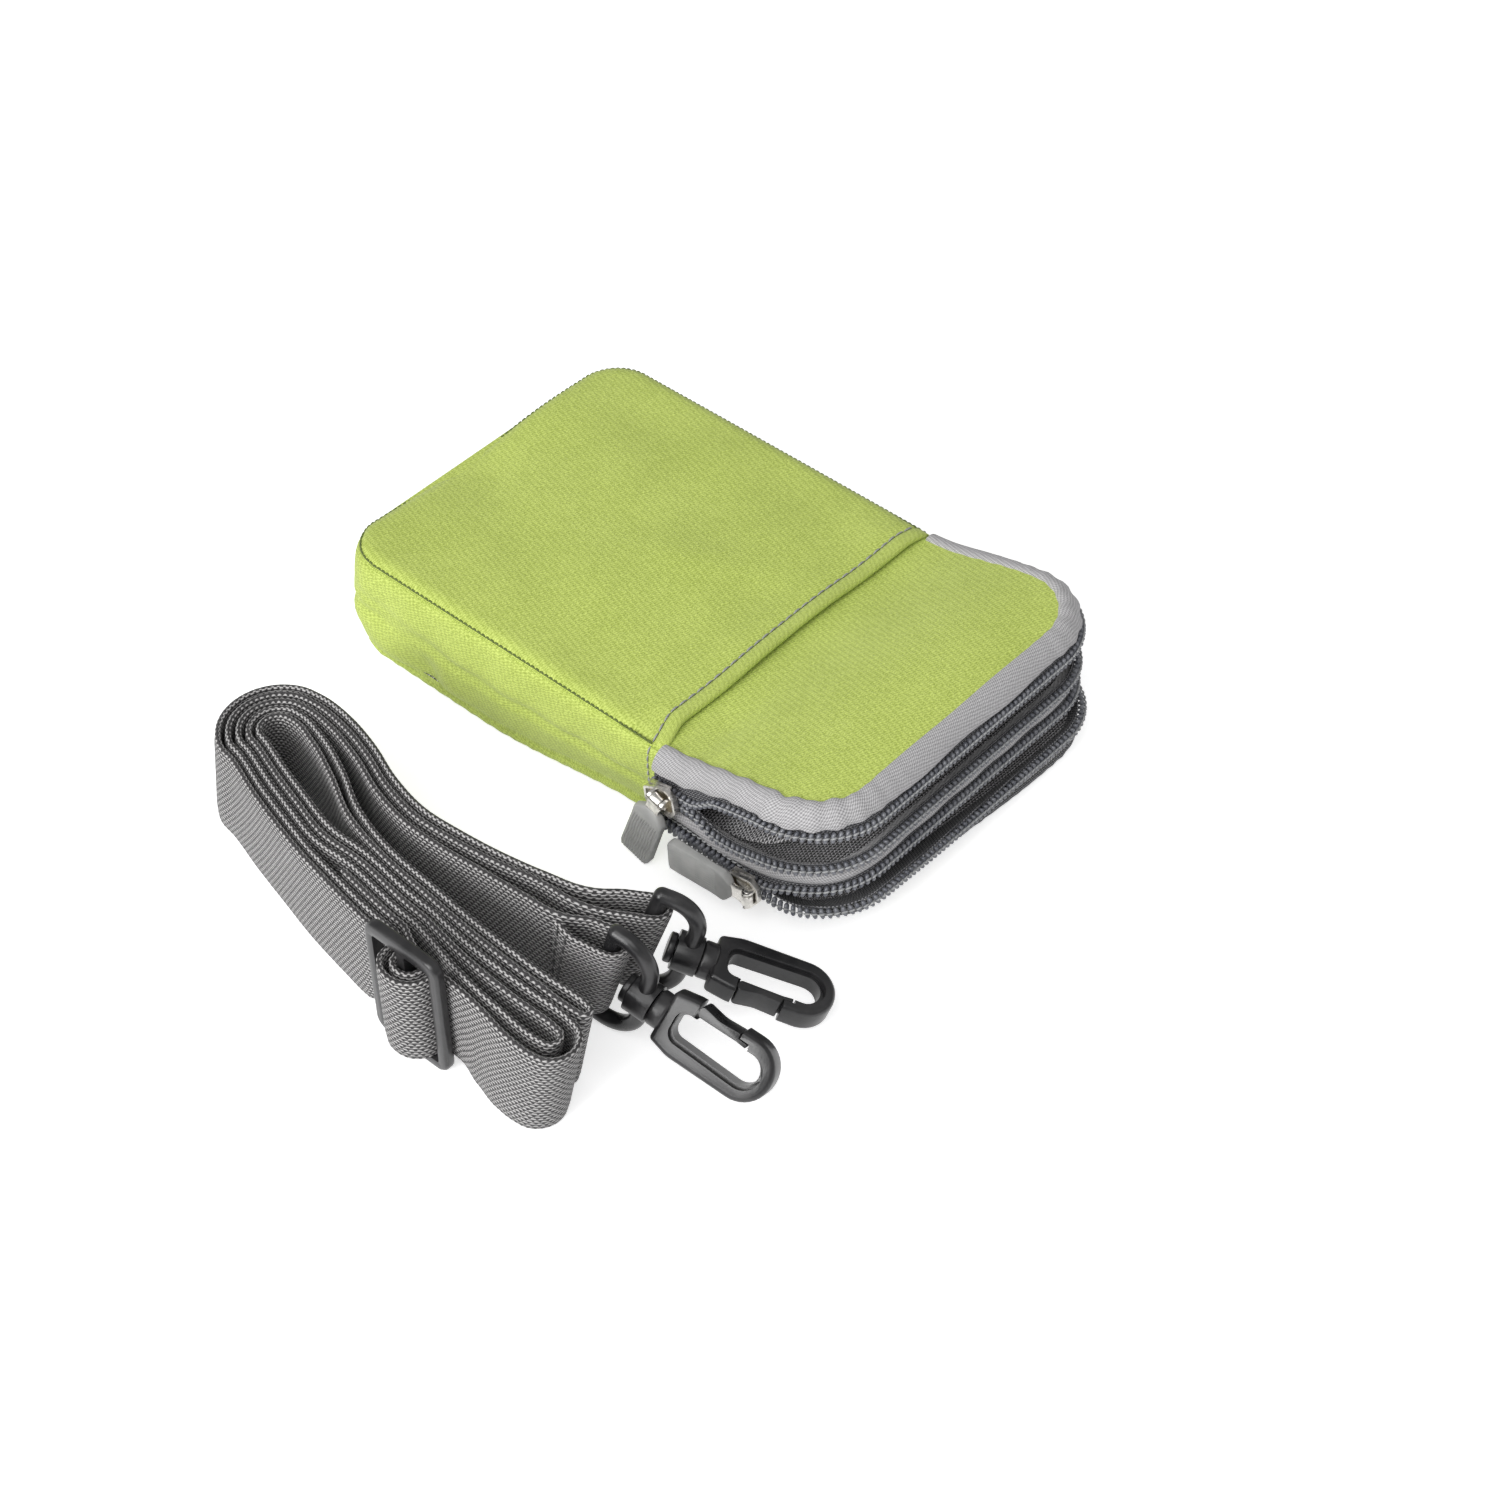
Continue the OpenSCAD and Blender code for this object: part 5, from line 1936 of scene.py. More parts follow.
    def lean(self, place: Vector, z: float) -> Vector:
        """Sideways shift of the webbing at a height, where the hank splays at its two ends.

        Args:
            place: Point on the middle line.
            z: The height.

        Returns:
            The shift.
        """
        share = z / self.width - 0.5
        mouth = -5.5 * share * ease((-place.y - 34.0) / 20.0)
        end = -4.0 * share * ease((place.y - 18.0) / 28.0)
        shift = Vector((0.0, mouth + end))
        for ring in RINGS:
            near = ease((15.0 - (place - Vector(ring.bar[:2])).length) / 10.0)
            a = radians(ring.heading)
            tilt = Vector((cos(a), sin(a))) * tan(radians(ring.pitch))
            shift = shift.lerp(tilt * (z - ring.bar[2]), near)
        return shift

    def lower(self, place: Vector) -> float:
        """Height of the webbing's lower edge: it bunches in the rings and in the adjuster.

        Args:
            place: Point on the middle line.

        Returns:
            The height.
        """
        low = 0.0
        for ring in RINGS:
            low = max(low, 4.95 * ease((12.5 - (place - Vector(ring.bar[:2])).length) / 9.0))
        beside = ease((-107.6 - place.x) / 3.4)
        window = ease((place.y + 42.0) / 5.5) * ease((-9.5 - place.y) / 5.5)
        return max(low, 2.75 * beside * window)

    def webbing(self) -> Piece:
        """The whole webbing as one folded ribbon.

        Returns:
            The ribbon.
        """
        line = self.smoothed(self.route(), 6)
        rows, half, hem = 9, self.thickness / 2, self.hem
        section: list[Point] = []
        for side in (1, -1):
            for j in range(rows + 1):
                t = j / rows if side > 0 else 1 - j / rows
                thin = 0.72 if j in (0, rows) else 1.0
                mark = self.width * t if side > 0 else 2 * (self.width + hem) - self.width * t
                section.append((side * half * thin, 0.012 + 0.976 * t, mark))
            if side > 0:
                section.append((0.0, 1.0, self.width + hem))
        section.append((0.0, 0.0, 2 * (self.width + hem) + hem))
        points: list[Point] = []
        marks: list[Pair] = []
        along = 0.0
        for i, place in enumerate(line):
            run = (line[min(i + 1, len(line) - 1)] - line[max(i - 1, 0)]).normalized()
            side_way = Vector((-run.y, run.x))
            along += (place - line[i - 1]).length if i else 0.0
            low = self.lower(place)
            for out, rise, mark in section:
                z = low + (self.width - low) * rise
                at = place + side_way * out + self.lean(place, z)
                points.append((at.x, at.y, z))
                marks.append((along, mark))
        faces = Bench.skin(len(line), len(section))
        piece = Bench.mesh("strap_ribbon", points, faces, marks)
        Bench.surface(piece, 60)
        self.length = along
        return Bench.finish(piece, (Finishes.WEBBING,), "strap", "strap_webbing")

    def stitching(self) -> Piece:
        """Box of stitches that closes the loop at the first ring.

        Returns:
            The stitches.
        """
        stitch = Stitch(2.2, 0.26)
        line = self.smoothed(self.route(), 6)
        for row in (1, 3):
            place = line[row]
            run = (line[row + 1] - line[row - 1]).normalized()
            side = Vector((-run.y, run.x))
            for i in range(8):
                z = self.box_low + i * self.box_pitch
                at = place - side * (self.thickness / 2 + 0.02) + self.lean(place, z)
                stitch.lay(Vector((at.x, at.y, z)), UP, Vector((-side.x, -side.y, 0)))
        piece = stitch.sew("strap_stitches")
        return Bench.finish(piece, (Finishes.DARK_THREAD,), "strap", "strap_stitching")

    def build(self) -> None:
        """Makes the webbing, its stitching and the adjuster."""
        webbing, stitching = self.webbing(), self.stitching()
        Adjuster(self.glide).build()
        log.info("the strap took %.0f mm of webbing", self.length)


@dataclass
class Studio:
    """Camera, floor, lamps and world."""

    lens: float = 72.25
    place: Point = (-340.16, -316.51, 450.0)
    look: Point = (0.52110, 0.46833, -0.71353)
    right: Point = (0.66319, -0.74842, -0.00690)
    world_level: float = 0.42
    key_watts: float = 6.9
    fill_watts: float = 0.8
    side_watts: float = 9.0

    def camera(self) -> None:
        """The photograph's camera."""
        data = bpy.data.cameras.new("camera")
        data.lens, data.sensor_width, data.sensor_height = self.lens, 36.0, 36.0
        data.sensor_fit = "HORIZONTAL"
        data.clip_start, data.clip_end = 0.01, 20.0
        camera = bpy.data.objects.new("camera", data)
        bpy.context.scene.collection.objects.link(camera)
        look, right = Vector(self.look).normalized(), Vector(self.right).normalized()
        up = right.cross(look)
        turned = Matrix((right, up, -look)).transposed().to_4x4()
        camera.matrix_world = shift_by(*self.place) @ turned
        bpy.context.scene.camera = camera

    def lamp(self, name: str, place: Point, size: float, watts: float) -> None:
        """A square soft lamp that looks at the object's middle.

        Args:
            name: Its name.
            place: Its place, in metres.
            size: Its side, in metres.
            watts: Its power.
        """
        data = bpy.data.lights.new(name, "AREA")
        data.energy, data.size, data.shape = watts, size, "SQUARE"
        lamp = bpy.data.objects.new(name, data)
        lamp.location = place
        lamp.rotation_euler = (Vector((-0.03, 0, 0)) - Vector(place)).to_track_quat("-Z", "Y").to_euler()
        bpy.context.scene.collection.objects.link(lamp)

    def floor(self) -> None:
        """Pale floor, which shows white to the camera and in gloss and keeps the shadow."""
        Bench.clear()
        bpy.ops.mesh.primitive_plane_add(size=8.0, location=(0, 0, -0.0002))
        floor = bpy.context.object
        floor.name = "studio_floor"
        paint = Paint("studio_floor")
        paint.set(Base_Color=(0.84, 0.84, 0.845), Roughness=0.9, Specular_IOR_Level=0.0)
        seen = self.seen(paint)
        paint.set(Emission_Color=paint.mix(seen, (0, 0, 0), (0.62, 0.62, 0.62)), Emission_Strength=1.0)
        floor.data.materials.append(paint.material)

    @staticmethod
    def seen(paint: Paint) -> Term:
        """Tells the rays for which the floor shows white.

        Args:
            paint: The floor's material.

        Returns:
            1 for rays from the camera, in gloss and through glass.
        """
        path = paint.node("LightPath")
        total = Term(paint, path.outputs["Is Camera Ray"])
        for name in ("Is Glossy Ray", "Is Transmission Ray"):
            total = total + Term(paint, path.outputs[name])
        return paint.clamp(total)

    def world(self) -> None:
        """Even light all round, white where it is seen."""
        world = bpy.data.worlds.new("studio")
        world.use_nodes = True
        bpy.context.scene.world = world
        nodes, links = world.node_tree.nodes, world.node_tree.links
        path = nodes.new("ShaderNodeLightPath")
        most = nodes.new("ShaderNodeMath")
        most.operation = "MAXIMUM"
        links.new(path.outputs["Is Camera Ray"], most.inputs[0])
        links.new(path.outputs["Is Transmission Ray"], most.inputs[1])
        level = nodes.new("ShaderNodeMapRange")
        level.inputs["To Min"].default_value = self.world_level
        level.inputs["To Max"].default_value = 1.0
        links.new(most.outputs[0], level.inputs["Value"])
        links.new(level.outputs[0], nodes["Background"].inputs["Strength"])
        nodes["Background"].inputs["Color"].default_value = (1.0, 1.0, 1.0, 1.0)

    def build(self) -> None:
        """Sets up the view and the light."""
        bpy.context.scene.view_settings.view_transform = "Standard"
        self.camera()
        self.floor()
        self.lamp("key", (-0.75, -0.35, 1.15), 0.9, self.key_watts)
        self.lamp("fill", (0.6, -0.9, 0.9), 1.0, self.fill_watts)
        self.lamp("side", (-1.1, 0.05, 0.5), 0.6, self.side_watts)
        self.world()


def outline(corners: Sequence[tuple[float, float, float]], parts: int = 6) -> Profile:
    """Rounds the corners of a polygon.

    Args:
        corners: Each corner's place and its radius.
        parts: Steps round each corner.

    Returns:
        The outline's points.
    """
    points: Profile = []
    for i, (x, y, r) in enumerate(corners):
        here = Vector((x, y))
        back = (Vector(corners[i - 1][:2]) - here).normalized()
        on = (Vector(corners[(i + 1) % len(corners)][:2]) - here).normalized()
        if not r:
            points.append((x, y))
            continue
        half = back.angle(on) / 2
        centre = here + (back + on).normalized() * (r / sin(half))
        start = here + back * (r / tan(half)) - centre
        end = here + on * (r / tan(half)) - centre
        first = atan2(start.y, start.x)
        turn = (atan2(end.y, end.x) - first + pi) % (2 * pi) - pi
        for k in range(parts + 1):
            angle = first + turn * k / parts
            points.append((centre.x + r * cos(angle), centre.y + r * sin(angle)))
    return points


# Turns a shape's X, Y and Z to Y, Z and X
UPRIGHT = Matrix(((0, 0, 1, 0), (1, 0, 0, 0), (0, 1, 0, 0), (0, 0, 0, 1)))
# Height above and below the middle to which cutting shapes reach
CLEAR = 9.0


class Solid:
    """Rigid shapes, each one extruded, cut and rounded by operators."""

    @staticmethod
    def slab(name: str, shape: Profile, bottom: float, top: float) -> Piece:
        """Extrudes an outline from one height to another.

        Args:
            name: The piece's name.
            shape: The outline.
            bottom: Height of its lower face.
            top: Height of its upper face.

        Returns:
            The piece.
        """
        piece = Bench.mesh(name, [(x, y, bottom) for x, y in shape], [tuple(range(len(shape)))])
        Bench.edit(piece, True)
        bpy.ops.mesh.extrude_region_move(
            TRANSFORM_OT_translate={"value": (0.0, 0.0, (top - bottom) * MM)}
        )
        Bench.close(piece)
        Bench.tidy_normals(piece)
        Solid.outwards(piece)
        return piece

    @staticmethod
    def outwards(piece: Piece) -> None:
        """Turns a closed shape's faces outwards where its volume comes out negative.

        Args:
            piece: The piece to change.
        """
        if Bench.edit(piece, True).calc_volume(signed=True) < 0:
            bpy.ops.mesh.flip_normals()
        Bench.close(piece)

    @staticmethod
    def drum(name: str, start: float, end: float, radius: float, soft: float) -> Piece:
        """Round bar along X with its rims rounded.

        Args:
            name: The piece's name.
            start: Where it starts.
            end: Where it ends.
            radius: Its radius.
            soft: Width of the rims' rounding.

        Returns:
            The piece.
        """
        Bench.clear()
        bpy.ops.mesh.primitive_cylinder_add(
            vertices=40, radius=radius * MM, depth=(end - start) * MM,
            location=((start + end) / 2 * MM, 0, 0), rotation=(0, pi / 2, 0),
        )
        piece = bpy.context.object
        piece.name = piece.data.name = name
        bpy.ops.object.transform_apply(location=True, rotation=True, scale=True)
        Bench.soften(piece, soft)
        return piece

    @staticmethod
    def cut(piece: Piece, *tools: Piece) -> None:
        """Cuts tools out of a piece and removes them.

        Args:
            piece: The piece to change.
            tools: Shapes to take away.
        """
        for tool in tools:
            Bench.modify(piece, "BOOLEAN", operation="DIFFERENCE", object=tool, solver="MANIFOLD")
            bpy.data.objects.remove(tool)

    @staticmethod
    def join(name: str, *pieces: Piece) -> Piece:
        """Makes several shapes one piece.

        Args:
            name: The piece's name.
            pieces: The shapes.

        Returns:
            The piece.
        """
        Bench.pick(*pieces)
        bpy.ops.object.join()
        piece = bpy.context.object
        piece.name = piece.data.name = name
        return piece

    @staticmethod
    def finish(piece: Piece, finish: Finishes, body: str, *nodes: str) -> None:
        """Shades a piece, dresses it and lets it ride on its body in place of its nodes.

        Args:
            piece: The piece.
            finish: Its finish.
            body: The body that it rides on.
            nodes: The nodes that it stands for.
        """
        Bench.surface(piece, 35)
        Bench.finish(piece, (finish,), body, *nodes)


@dataclass
class ZipSlider:
    """A zip slider with its puller: metal link and ribbed rubber grip."""

    name: str
    place: Point
    tilt: float
    turn: float
    shift: float
    length: float = 8.0
    width: float = 6.6
    plate_t: float = 0.9
    outer_x: float = 2.7
    inner_x: float = -1.6
    pin_x: float = 5.18
    pin_r: float = 0.7
    knuckle_l: float = 2.6
    link_w: float = 4.0
    link_l: float = 7.0
    grip_l: float = 17.0
    grip_w: float = 7.8
    grip_t: float = 2.8
    grip_r: float = 1.8
    grip_top: float = -3.5
    ribs: int = 11

    def seat(self, turned: bool) -> Matrix:
        """Frame with X out of the pouch, Y to the mouth and Z up.

        Args:
            turned: Whether it is the puller's, which hangs on the pin.

        Returns:
            The frame.
        """
        angle = (self.turn if turned else 0.0) - self.tilt
        place = shift_by(*self.place) @ turn_by(angle, "X") @ turn_by(180, "Z")
        return place @ shift_by(self.pin_x, 0, self.shift) if turned else place

    def plate(self, x: float, face: int) -> Piece:
        """Shield-shaped plate with a raised rim on its outer face.

        Args:
            x: Place of its inner face.
            face: 1 where it faces outwards, -1 inwards.

        Returns:
            The plate.
        """
        l, w = self.length / 2 + 0.05, self.width / 2 + 0.25
        shape = outline([(-l, -w * 0.55, 0.9), (-l * 0.45, -w * 0.82, 2.0), (l * 0.55, -w, 1.2),
                         (l, -w * 0.5, 1.0), (l, w * 0.5, 1.0), (l * 0.55, w, 1.2),
                         (-l * 0.45, w * 0.82, 2.0), (-l, w * 0.55, 0.9)], 4)
        piece = Solid.slab("plate", shape, -self.plate_t / 2, self.plate_t / 2)
        work = Bench.edit(piece)
        for part in work.faces:
            part.select_set(part.normal.z * face > 0.9)
        bmesh.update_edit_mesh(piece.data)
        bpy.ops.mesh.extrude_region_move(TRANSFORM_OT_translate={"value": (0, 0, face * 0.35 * MM)})
        bpy.ops.mesh.inset(thickness=0.62 * MM, depth=0.0)
        bpy.ops.mesh.inset(thickness=0.25 * MM, depth=-0.6 * MM)
        Bench.close(piece)
        Bench.soften(piece, 0.16, 2)
        piece.data.transform(shift_by(x + self.plate_t / 2, 0, 0) @ UPRIGHT)
        return piece

    def flange(self, side: int) -> Piece:
        """Side wall that guides a coil, from the outer plate inwards.

        Args:
            side: 1 for the upper wall, -1 for the lower one.

        Returns:
            The wall.
        """
        w = self.width / 2
        shape = outline([(-3.2, side * (w - 1.0), 0.2), (2.2, side * (w - 0.75), 0.2),
                         (2.2, side * (w - 0.05), 0.2), (-3.2, side * (w - 0.45), 0.2)], 2)
        piece = Solid.slab("flange", shape, self.outer_x - 0.75, self.outer_x + 0.4)
        piece.data.transform(UPRIGHT)
        return piece

    def bail(self) -> list[Piece]:
        """Two curved arms on the plate that hold the pin.

        Returns:
            The arms and the pin.
        """
        base, reach = self.outer_x + self.plate_t * 0.5, 1.5 * self.pin_r
        arms = []
        for side in (-1, 1):
            shape = outline([
                (base, -1.6, 0.3), (base + 0.9, -1.3, 0.8), (self.pin_x - 0.2, self.shift - reach, 0.7),
                (self.pin_x + reach, self.shift - reach, 1.2),
                (self.pin_x + reach, self.shift + reach, 1.2), (base, self.shift + reach - 0.1, 0.5),
            ], 5)
            middle = side * (self.knuckle_l / 2 + 0.42)
            arm = Solid.slab("arm", shape, -0.32, 0.32)
            Bench.soften(arm, 0.22, 3)
            arm.data.transform(shift_by(0, middle, 0) @ turn_by(90, "X"))
            arms.append(arm)
        end = self.knuckle_l / 2 + 0.85
        pin = Solid.drum("pin", -end, end, self.pin_r, 0.25)
        pin.data.transform(shift_by(self.pin_x, 0, self.shift) @ turn_by(90, "Z"))
        for piece in (*arms, pin):
            piece.data.transform(turn_by(-self.turn, "X"))
        return [*arms, pin]

    def body(self) -> None:
        """The slider's own metal, with a painted bronze reflection on the floor of the cap's recess."""
        l = self.length / 2
        post = Solid.drum("post", self.inner_x, self.outer_x + 0.4, 0.9, 0.1)
        post.data.transform(shift_by(0, l - 1.9, 0))
        piece = Solid.join(
            self.name + "_metal", self.plate(self.outer_x, 1), self.plate(self.inner_x, -1),
            self.flange(-1), self.flange(1), post, *self.bail(),
        )
        piece.data.transform(self.seat(False))
        Solid.finish(piece, Finishes.NICKEL, self.name, self.name)
        # The floor of the cap's recess takes the bronze finish, which paints a reflection there.
        piece.data.materials.append(Finishes.BRONZE.value.material())
        inwards = self.seat(False).inverted()
        floor = self.outer_x + self.plate_t - 0.25
        for part in piece.data.polygons:
            at = inwards @ part.center / MM
            if abs(at.x - floor) < 0.1 and abs(part.normal.x) > 0.8:
                part.material_index = 1

    def link(self, puller: str) -> None:
        """Knuckle and stem of the puller.

        Args:
            puller: The puller's name.
        """
        knuckle = Solid.drum("knuckle", -self.knuckle_l / 2, self.knuckle_l / 2,
                             self.pin_r + 0.5, 0.2)
        bore = Solid.drum("bore", -self.link_w, self.link_w, self.pin_r + 0.06, 0.01)
        Solid.cut(knuckle, bore)
        knuckle.data.transform(turn_by(90, "Z"))
        w = self.link_w / 2
        shape = outline([(-w, -1.0, 0.2), (w, -1.0, 0.2), (w * 0.8, -2.6, 1.0), (w * 0.9, -4.4, 1.0),
                         (w * 0.9, -self.link_l, 0.3), (-w * 0.9, -self.link_l, 0.3),
                         (-w * 0.9, -4.4, 1.0), (-w * 0.8, -2.6, 1.0)], 4)
        stem = Solid.slab("stem", shape, -0.5, 0.5)
        Bench.soften(stem, 0.2, 2)
        stem.data.transform(UPRIGHT)
        piece = Solid.join(puller + "_metal", knuckle, stem)
        piece.data.transform(self.seat(True))
        Solid.finish(piece, Finishes.NICKEL, puller, puller + "_link")

    def rib(self, y: float, z: float) -> float:
        """Height of the wavy lengthwise ribs on the grip's outer face.

        Args:
            y: Place across the grip.
            z: Place along it.

        Returns:
            The height.
        """
        down = self.grip_top - z
        margin = ease((self.grip_w / 2 - 0.35 - abs(y)) / 0.3)
        ends = ease((down - 3.4) / 1.2) * ease((self.grip_l - 0.3 - down) / 0.4)
        sway = 0.08 * sin(down * 1.1) + 0.03 * sin(down * 2.4 + 1.0)
        pitch = (self.grip_w - 0.7) / self.ribs
        return 0.14 * margin * ends * cos(2 * pi * (y + sway) / pitch)

    def grip(self, puller: str) -> None:
        """Moulded grip: domed at the link, square at the end, thicker towards the end.

        Args:
            puller: The puller's name.
        """
        rows, across, flat, soft = 64, 84, 12, 0.6
        points: list[Point] = []
        for i in range(rows + 1):
            down = self.grip_l * i / rows
            start, end = down / 2.6, (self.grip_l - down) / 0.9
            dome = sqrt(max(0.0, 1 - (1 - min(1.0, start)) ** 2))
            tip = sqrt(max(0.0, 1 - (1 - min(1.0, end)) ** 2))
            wide = self.grip_w / 2 * (0.66 + 0.34 * ease(down / 2.8)) * (0.3 + 0.7 * dome)
            corner = min(1.0, (self.grip_l - down) / self.grip_r)
            wide -= self.grip_r * (1 - sqrt(max(0.0, 1 - (1 - corner) ** 2)))
            thick = self.grip_t / 2 * (0.3 + 0.7 * dome) * (0.35 + 0.65 * tip)
            thick *= 0.8 + 0.1 * ease((down - 9.0) / 6.0) - 0.1 * bell(down, 5.5, 2.4)
            z = self.grip_top - down
            front = [(y, 1) for y in (wide * (2 * k / across - 1) for k in range(across + 1))]
            rear = [(y, -1) for y in (wide * (2 * k / flat - 1) for k in range(flat, -1, -1))]
            for y, face in front + rear:
                edge = min(1.0, (wide - abs(y)) / soft)
                fall = min(soft * (1 - sqrt(max(0.0, 1 - (1 - edge) ** 2))), thick * 0.8)
                ribbed = self.rib(y, z) if face > 0 else 0.0
                points.append((face * (thick - fall) + ribbed, y, z))
        faces = Bench.skin(rows + 1, across + flat + 2)
        piece = Bench.mesh(puller + "_rubber", points, faces)
        piece.data.transform(self.seat(True))
        Solid.finish(piece, Finishes.RUBBER, puller, puller + "_grip")

    def build(self) -> None:
        """Makes the slider and its puller."""
        puller = self.name.replace("slider", "puller")
        self.body()
        self.link(puller)
        self.grip(puller)


@dataclass
class SnapHook:
    """Swivel snap hook: the body with its eye, and the gate.

    The head, pin, collar and eye are given by their start, end and radius along the hook.
    """

    name: str
    ring: RingSeat
    head: Point = (4.86, 6.38, 3.04)
    pin: Point = (4.9, 12.0, 1.9)
    collar: Point = (11.62, 14.7, 3.75)
    eye: Point = (13.62, 38.62, 6.5)
    half_t: float = 2.7
    hinge: float = 19.5
    nose: float = 29.12

    def seat(self) -> Matrix:
        """Frame with X away from the ring and Y across the eye, to the gate.

        Returns:
            The frame.
        """
        ring = self.ring
        turned = turn_by(ring.heading, "Z") @ turn_by(ring.pitch, "Y") @ turn_by(ring.roll, "X")
        return shift_by(*ring.bar) @ turned

    def body(self) -> None:
        """Pin, collar and eye: squared at the collar, round at the tip, open at the gate."""
        start, tip, half = self.eye
        t = self.half_t
        eye = Solid.slab("eye", outline([
            (start + 0.4, -5.3, 1.0), (start + 5, -half, 8.0), (tip, -half, 6.3), (tip, half, 6.3),
            (start + 5, half - 0.3, 8.0), (start + 0.4, 5.3, 1.0)], 10), -t, t)
        Bench.soften(eye, 1.15, 4, 50)
        window = [(self.nose, 9, 0), (self.nose, 4.75, 0), (self.nose + 2.13, 4.75, 0),
                  (self.nose + 2.13, 2.8, 0), (self.hinge, 2.8, 0), (self.hinge, 9, 0)]
        hole = [(start + 3.4, -2.7, 2.0), (tip - 2.9, -3.3, 3.2), (tip - 2.9, 3.3, 3.2),
                (start + 3.4, 2.7, 2.0)]
        ledge = [(start + 2.9, -3.4, 2.4), (tip - 2.1, -4.1, 4.0), (tip - 2.1, 4.1, 4.0),
                 (start + 2.9, 3.4, 2.4)]
        Solid.cut(
            eye, Solid.slab("window", outline(window), -CLEAR, CLEAR),
            Solid.slab("hole", outline(hole, 8), -CLEAR, CLEAR),
            Solid.slab("upper", outline(ledge, 8), t - 1.0, CLEAR),
            Solid.slab("lower", outline(ledge, 8), -CLEAR, 1.0 - t),
        )
        Bench.soften(eye, 0.16, 2, 50)
        piece = Solid.join(
            self.name + "_plastic", eye, Solid.drum("head", *self.head, 0.4),
            Solid.drum("pin", *self.pin, 0.1), Solid.drum("collar", *self.collar, 0.6),
        )
        piece.data.transform(self.seat())
        Solid.finish(piece, Finishes.PLASTIC, self.name, self.name + "_body")

    def gate(self) -> None:
        """Gate set back from the nose, with the toe that catches behind it."""
        x, end = self.hinge + 0.25, self.nose
        shape = outline([
            (x, 3.6, 0.9), (end - 0.4, 3.75, 0.1), (end + 1.7, 3.55, 0.2), (end + 1.7, 4.4, 0.25),
            (end - 0.35, 4.45, 0.1), (end - 0.35, 5.5, 0.3), (x + 4.5, 5.2, 6.0), (x, 6.0, 0.8)], 5)
        half = self.half_t - 0.3
        piece = Solid.slab(self.name + "_gate_plastic", shape, -half, half)
        Bench.soften(piece, 0.3, 3, 40)
        piece.data.transform(self.seat())
        Solid.finish(piece, Finishes.PLASTIC, self.name + "_gate", self.name + "_gate")

    def build(self) -> None:
        """Makes the body and the gate."""
        self.body()
        self.gate()


@dataclass
class Adjuster:
    """Three-bar adjuster of the strap, on edge."""

    place: Pair
    height: float = 30.4
    length: float = 19.0
    thickness: float = 2.4
    slot_l: float = 6.5
    slot_y: float = 4.25
    slot_h: float = 25.6

    def build(self) -> None:
        """Rounded frame with two windows and the middle bar."""
        h, l, t = self.height / 2, self.length / 2, self.thickness / 2
        piece = Solid.slab("strap_adjuster_frame", outline([
            (-h, -l - 0.3, 3.2), (h + 0.5, -l - 0.3, 3.2), (h + 0.5, l + 0.3, 3.2),
            (-h, l + 0.3, 3.2)], 7), -t, t)
        Bench.soften(piece, 0.75, 3, 50)
        half_h, half_l = self.slot_h / 2, self.slot_l / 2
        for side in (-1, 1):
            y = side * self.slot_y
            slot = outline([(-half_h, y - half_l, 0.7), (half_h, y - half_l, 0.7),
                            (half_h, y + half_l, 0.7), (-half_h, y + half_l, 0.7)], 4)
            Solid.cut(piece, Solid.slab("slot", slot, -CLEAR, CLEAR))
        Bench.soften(piece, 0.25, 2, 50)
        piece.data.transform(shift_by(*self.place, self.height / 2) @ turn_by(-90, "Y"))
        Solid.finish(piece, Finishes.PLASTIC, "strap", "strap_adjuster")


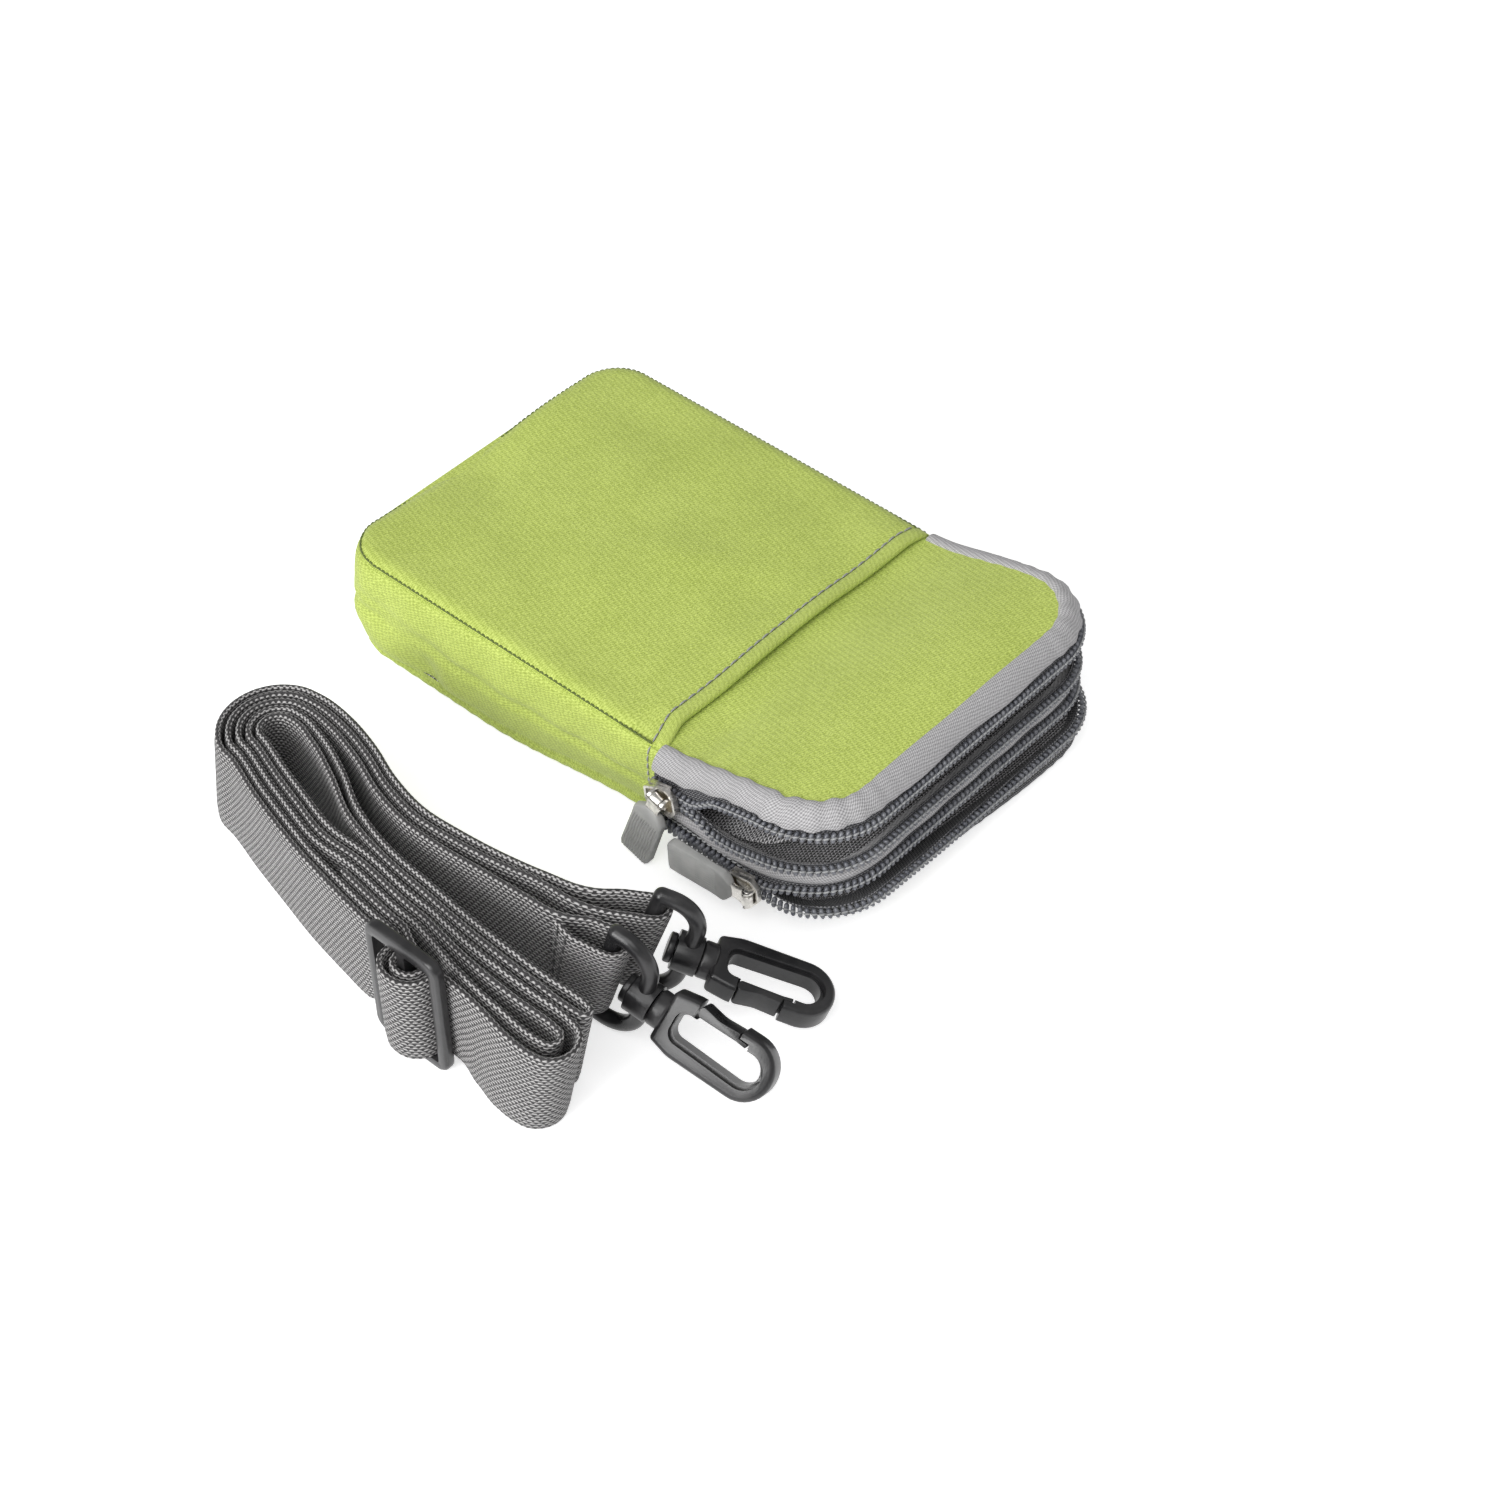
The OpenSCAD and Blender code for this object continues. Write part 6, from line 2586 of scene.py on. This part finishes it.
@dataclass
class Hardware:
    """Sliders, pullers, hooks and the fittings on the back."""

    sliders: tuple = (
        ZipSlider("front_slider", FRONT_SLIDER, 7.25, 25.25, 1.65),
        ZipSlider("rear_slider", REAR_SLIDER, 2.25, 90.0, 2.6),
    )
    hooks: tuple = (SnapHook("hook_1", RINGS[0]), SnapHook("hook_2", RINGS[1]))
    rounded: tuple = (
        ("zip_end_stops", Finishes.NICKEL, "pouch", 0.3),
        ("tab_near", Finishes.WEBBING, "pouch", 0.2),
        ("tab_far", Finishes.WEBBING, "pouch", 0.2),
        ("d_ring_near", Finishes.PLASTIC, "near_d_ring", 0.1),
        ("d_ring_far", Finishes.PLASTIC, "far_d_ring", 0.1),
        ("hook_1_ring", Finishes.PLASTIC, "hook_1_ring", 0.7),
        ("hook_2_ring", Finishes.PLASTIC, "hook_2_ring", 0.7),
        ("belt_loop", Finishes.GREEN, "pouch", 0.3),
    )

    def build(self) -> None:
        """Makes all of them."""
        for part in (*self.sliders, *self.hooks):
            part.build()
        for node, finish, body, width in self.rounded:
            refined(node, finish, body, width)


def declare_shells() -> None:
    """Reads each sewn shell's cut size and looks up the pieces sewn to it; the results are not used."""
    zips = {
        name: [name + "_tape", name + "_coil", name + "_seam"]
        for name in ("front_zip_upper", "front_zip_lower", "rear_zip_upper", "rear_zip_lower",
                     "rear_zip_closed")
    }
    shells = (
        ("front_panel_cloth", (85.2, 135.0), "front_gusset",
         ["front_binding_tape", *zips["front_zip_upper"]]),
        ("gusset_cloth", (24.5, 262.4), "back_panel", ["gusset_hem_stitches"]),
        ("divider_cloth", (83.6, 133.8), "front_gusset",
         ["middle_band_tape", *zips["front_zip_lower"], *zips["rear_zip_upper"]]),
        ("back_panel_cloth", (86.0, 141.0), "back_seam",
         ["back_seam_roll", "tab_near_piece", "tab_far_piece", "belt_loop_piece",
          *zips["rear_zip_lower"], *zips["rear_zip_closed"]]),
    )
    for name, flat, under, sewn_on in shells:
        flat[0] * MM
        flat[1] * MM
        [bpy.data.objects[n] for n in sewn_on]


def main() -> None:
    """Builds the object piece by piece."""
    logging.basicConfig(level=logging.INFO, format="%(name)s: %(message)s")
    Studio().build()
    Strap().build()
    shape = PouchShape()
    PouchShell(shape).build()
    SlipPocket(shape).build()
    Mouth(shape).build()
    Hardware().build()
    declare_shells()


if __name__ == "__main__":
    main()
